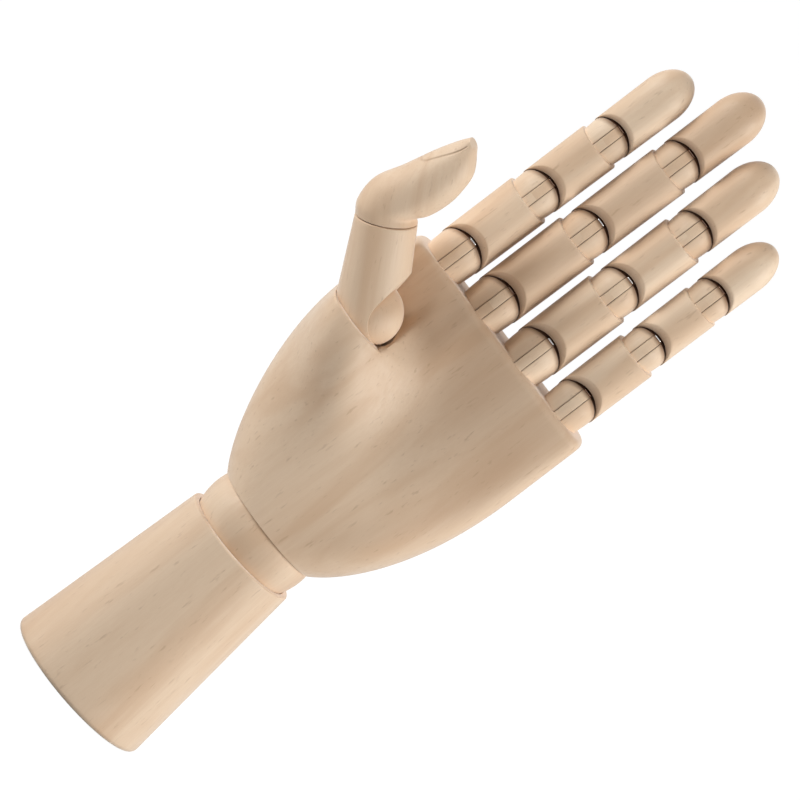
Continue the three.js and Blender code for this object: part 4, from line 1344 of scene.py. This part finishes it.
class HAND_OT_stage(Operator):
    """White floor, soft light from both sides, and the camera"""

    bl_idname = "hand.stage"
    bl_label = "Stage"

    def execute(self, context):
        scene = context.scene
        scene.view_settings.view_transform = "Standard"
        self.add_world(scene)
        self.add_floor()
        self.add_lamp("left lamp", -1, scene.hand_stage.left)
        self.add_lamp("right lamp", 1, scene.hand_stage.right)
        self.add_camera(scene)
        return {"FINISHED"}

    def add_world(self, scene):
        """White to the camera and in reflections, and an even fill for the object."""
        world = bpy.data.worlds.new("studio")
        world.use_nodes = True
        tree = world.node_tree
        tree.nodes.clear()
        direction = tree.nodes.new("ShaderNodeTexCoord").outputs["Generated"]
        depth = node(tree, "ShaderNodeSeparateXYZ", direction).outputs["Y"]
        soft = ramp(tree, depth, *WALL_EDGES, scene.hand_stage.fill, scene.hand_stage.behind)
        strength = calculate(tree, "MAXIMUM", soft, seen_white(tree))
        light = node(tree, "ShaderNodeBackground", Color=grey(1), Strength=strength)
        result = tree.nodes.new("ShaderNodeOutputWorld")
        tree.links.new(light.outputs[0], result.inputs[0])
        scene.world = world

    def add_floor(self):
        """A wide pale floor that shows the camera white with a faint shadow."""
        corners = [(x * GROUND_HALF, y * GROUND_HALF, 0) for x, y in ((-1, -1), (1, -1), (1, 1), (-1, 1))]
        mesh = bpy.data.meshes.new("floor")
        mesh.from_pydata(corners, [], [range(4)])
        floor = new_object("floor", mesh)
        material, tree, result = new_material("white floor")
        seen = seen_white(tree)
        glow = node(tree, "ShaderNodeEmission", Color=grey(1), Strength=GROUND_GLOW)
        matte = node(tree, "ShaderNodeBsdfDiffuse", Color=grey(GROUND_SHADOW))
        both = node(tree, "ShaderNodeAddShader", glow.outputs[0], matte.outputs[0])
        pale = node(tree, "ShaderNodeBsdfDiffuse", Color=grey(GROUND_GREY))
        choice = node(tree, "ShaderNodeMixShader", seen, pale.outputs[0], both.outputs[0])
        tree.links.new(choice.outputs[0], result.inputs[0])
        mesh.materials.append(material)

    def add_lamp(self, name, side, power):
        """A large square lamp at one side, aimed at the palm."""
        lamp = bpy.data.lights.new(name, "AREA")
        lamp.shape = "SQUARE"
        lamp.size = LAMP_SIZE
        lamp.energy = power
        made = new_object(name, lamp)
        made.location = (side * LAMP_PLACE[0], *LAMP_PLACE[1:])
        made.rotation_euler = (Vector(LAMP_AIM) - made.location).to_track_quat("-Z", "Y").to_euler()

    def add_camera(self, scene):
        """Looks along +Y from a little above, rolled so that the hand leans across the picture."""
        data = bpy.data.cameras.new("camera")
        data.sensor_width = SENSOR
        data.lens = SENSOR * VIEW_DISTANCE / (IMAGE_PIXELS * MM_PER_PIXEL * MM)
        camera = new_object("camera", data)
        turn = Matrix.Rotation(pi / 2 - VIEW_ELEVATION, 4, "X") @ Matrix.Rotation(VIEW_ROLL, 4, "Z")
        right, up, back = (turn.to_3x3().col[k] for k in range(3))
        aim = Vector(HAND.origin * MM) + VIEW_OFFSET[0] * right + VIEW_OFFSET[1] * up
        camera.matrix_world = Matrix.Translation(aim + VIEW_DISTANCE * back) @ turn
        data.clip_start = CLIP_START
        scene.camera = camera


class HAND_PT_panel(Panel):
    """Lists the pieces and their sizes"""

    bl_idname = "HAND_PT_panel"
    bl_label = "Wooden hand"
    bl_space_type = "VIEW_3D"
    bl_region_type = "UI"
    bl_category = "Hand"

    def draw(self, context):
        for operator in OPERATORS:
            self.layout.operator(operator.bl_idname)
        for group in GROUPS:
            box = self.layout.box()
            settings = getattr(context.scene, group)
            for name in setting_names(settings):
                box.prop(settings, name)


GROUPS = {
    "hand_joints": JointSizes,
    "hand_blocks": BlockSizes,
    "hand_finishes": Finishes,
    "hand_stage": StageSettings,
}
OPERATORS = (
    HAND_OT_forearm,
    HAND_OT_wrist,
    HAND_OT_palm,
    HAND_OT_fingers,
    HAND_OT_thumb,
    HAND_OT_fittings,
    HAND_OT_stage,
)
CLASSES = (*GROUPS.values(), *OPERATORS, HAND_PT_panel)


def register():
    """Adds the classes, and their settings to the scene."""
    for item in CLASSES:
        bpy.utils.register_class(item)
    for name, group in GROUPS.items():
        setattr(bpy.types.Scene, name, PointerProperty(type=group))


def unregister():
    """Takes the settings and the classes away again."""
    for name in GROUPS:
        delattr(bpy.types.Scene, name)
    for item in reversed(CLASSES):
        bpy.utils.unregister_class(item)


def main():
    """Builds the hand and its stage."""
    register()
    bpy.ops.hand.forearm()
    bpy.ops.hand.wrist()
    bpy.ops.hand.palm()
    bpy.ops.hand.fingers()
    bpy.ops.hand.thumb()
    bpy.ops.hand.fittings()
    bpy.ops.hand.stage()


if __name__ == "__main__":
    main()
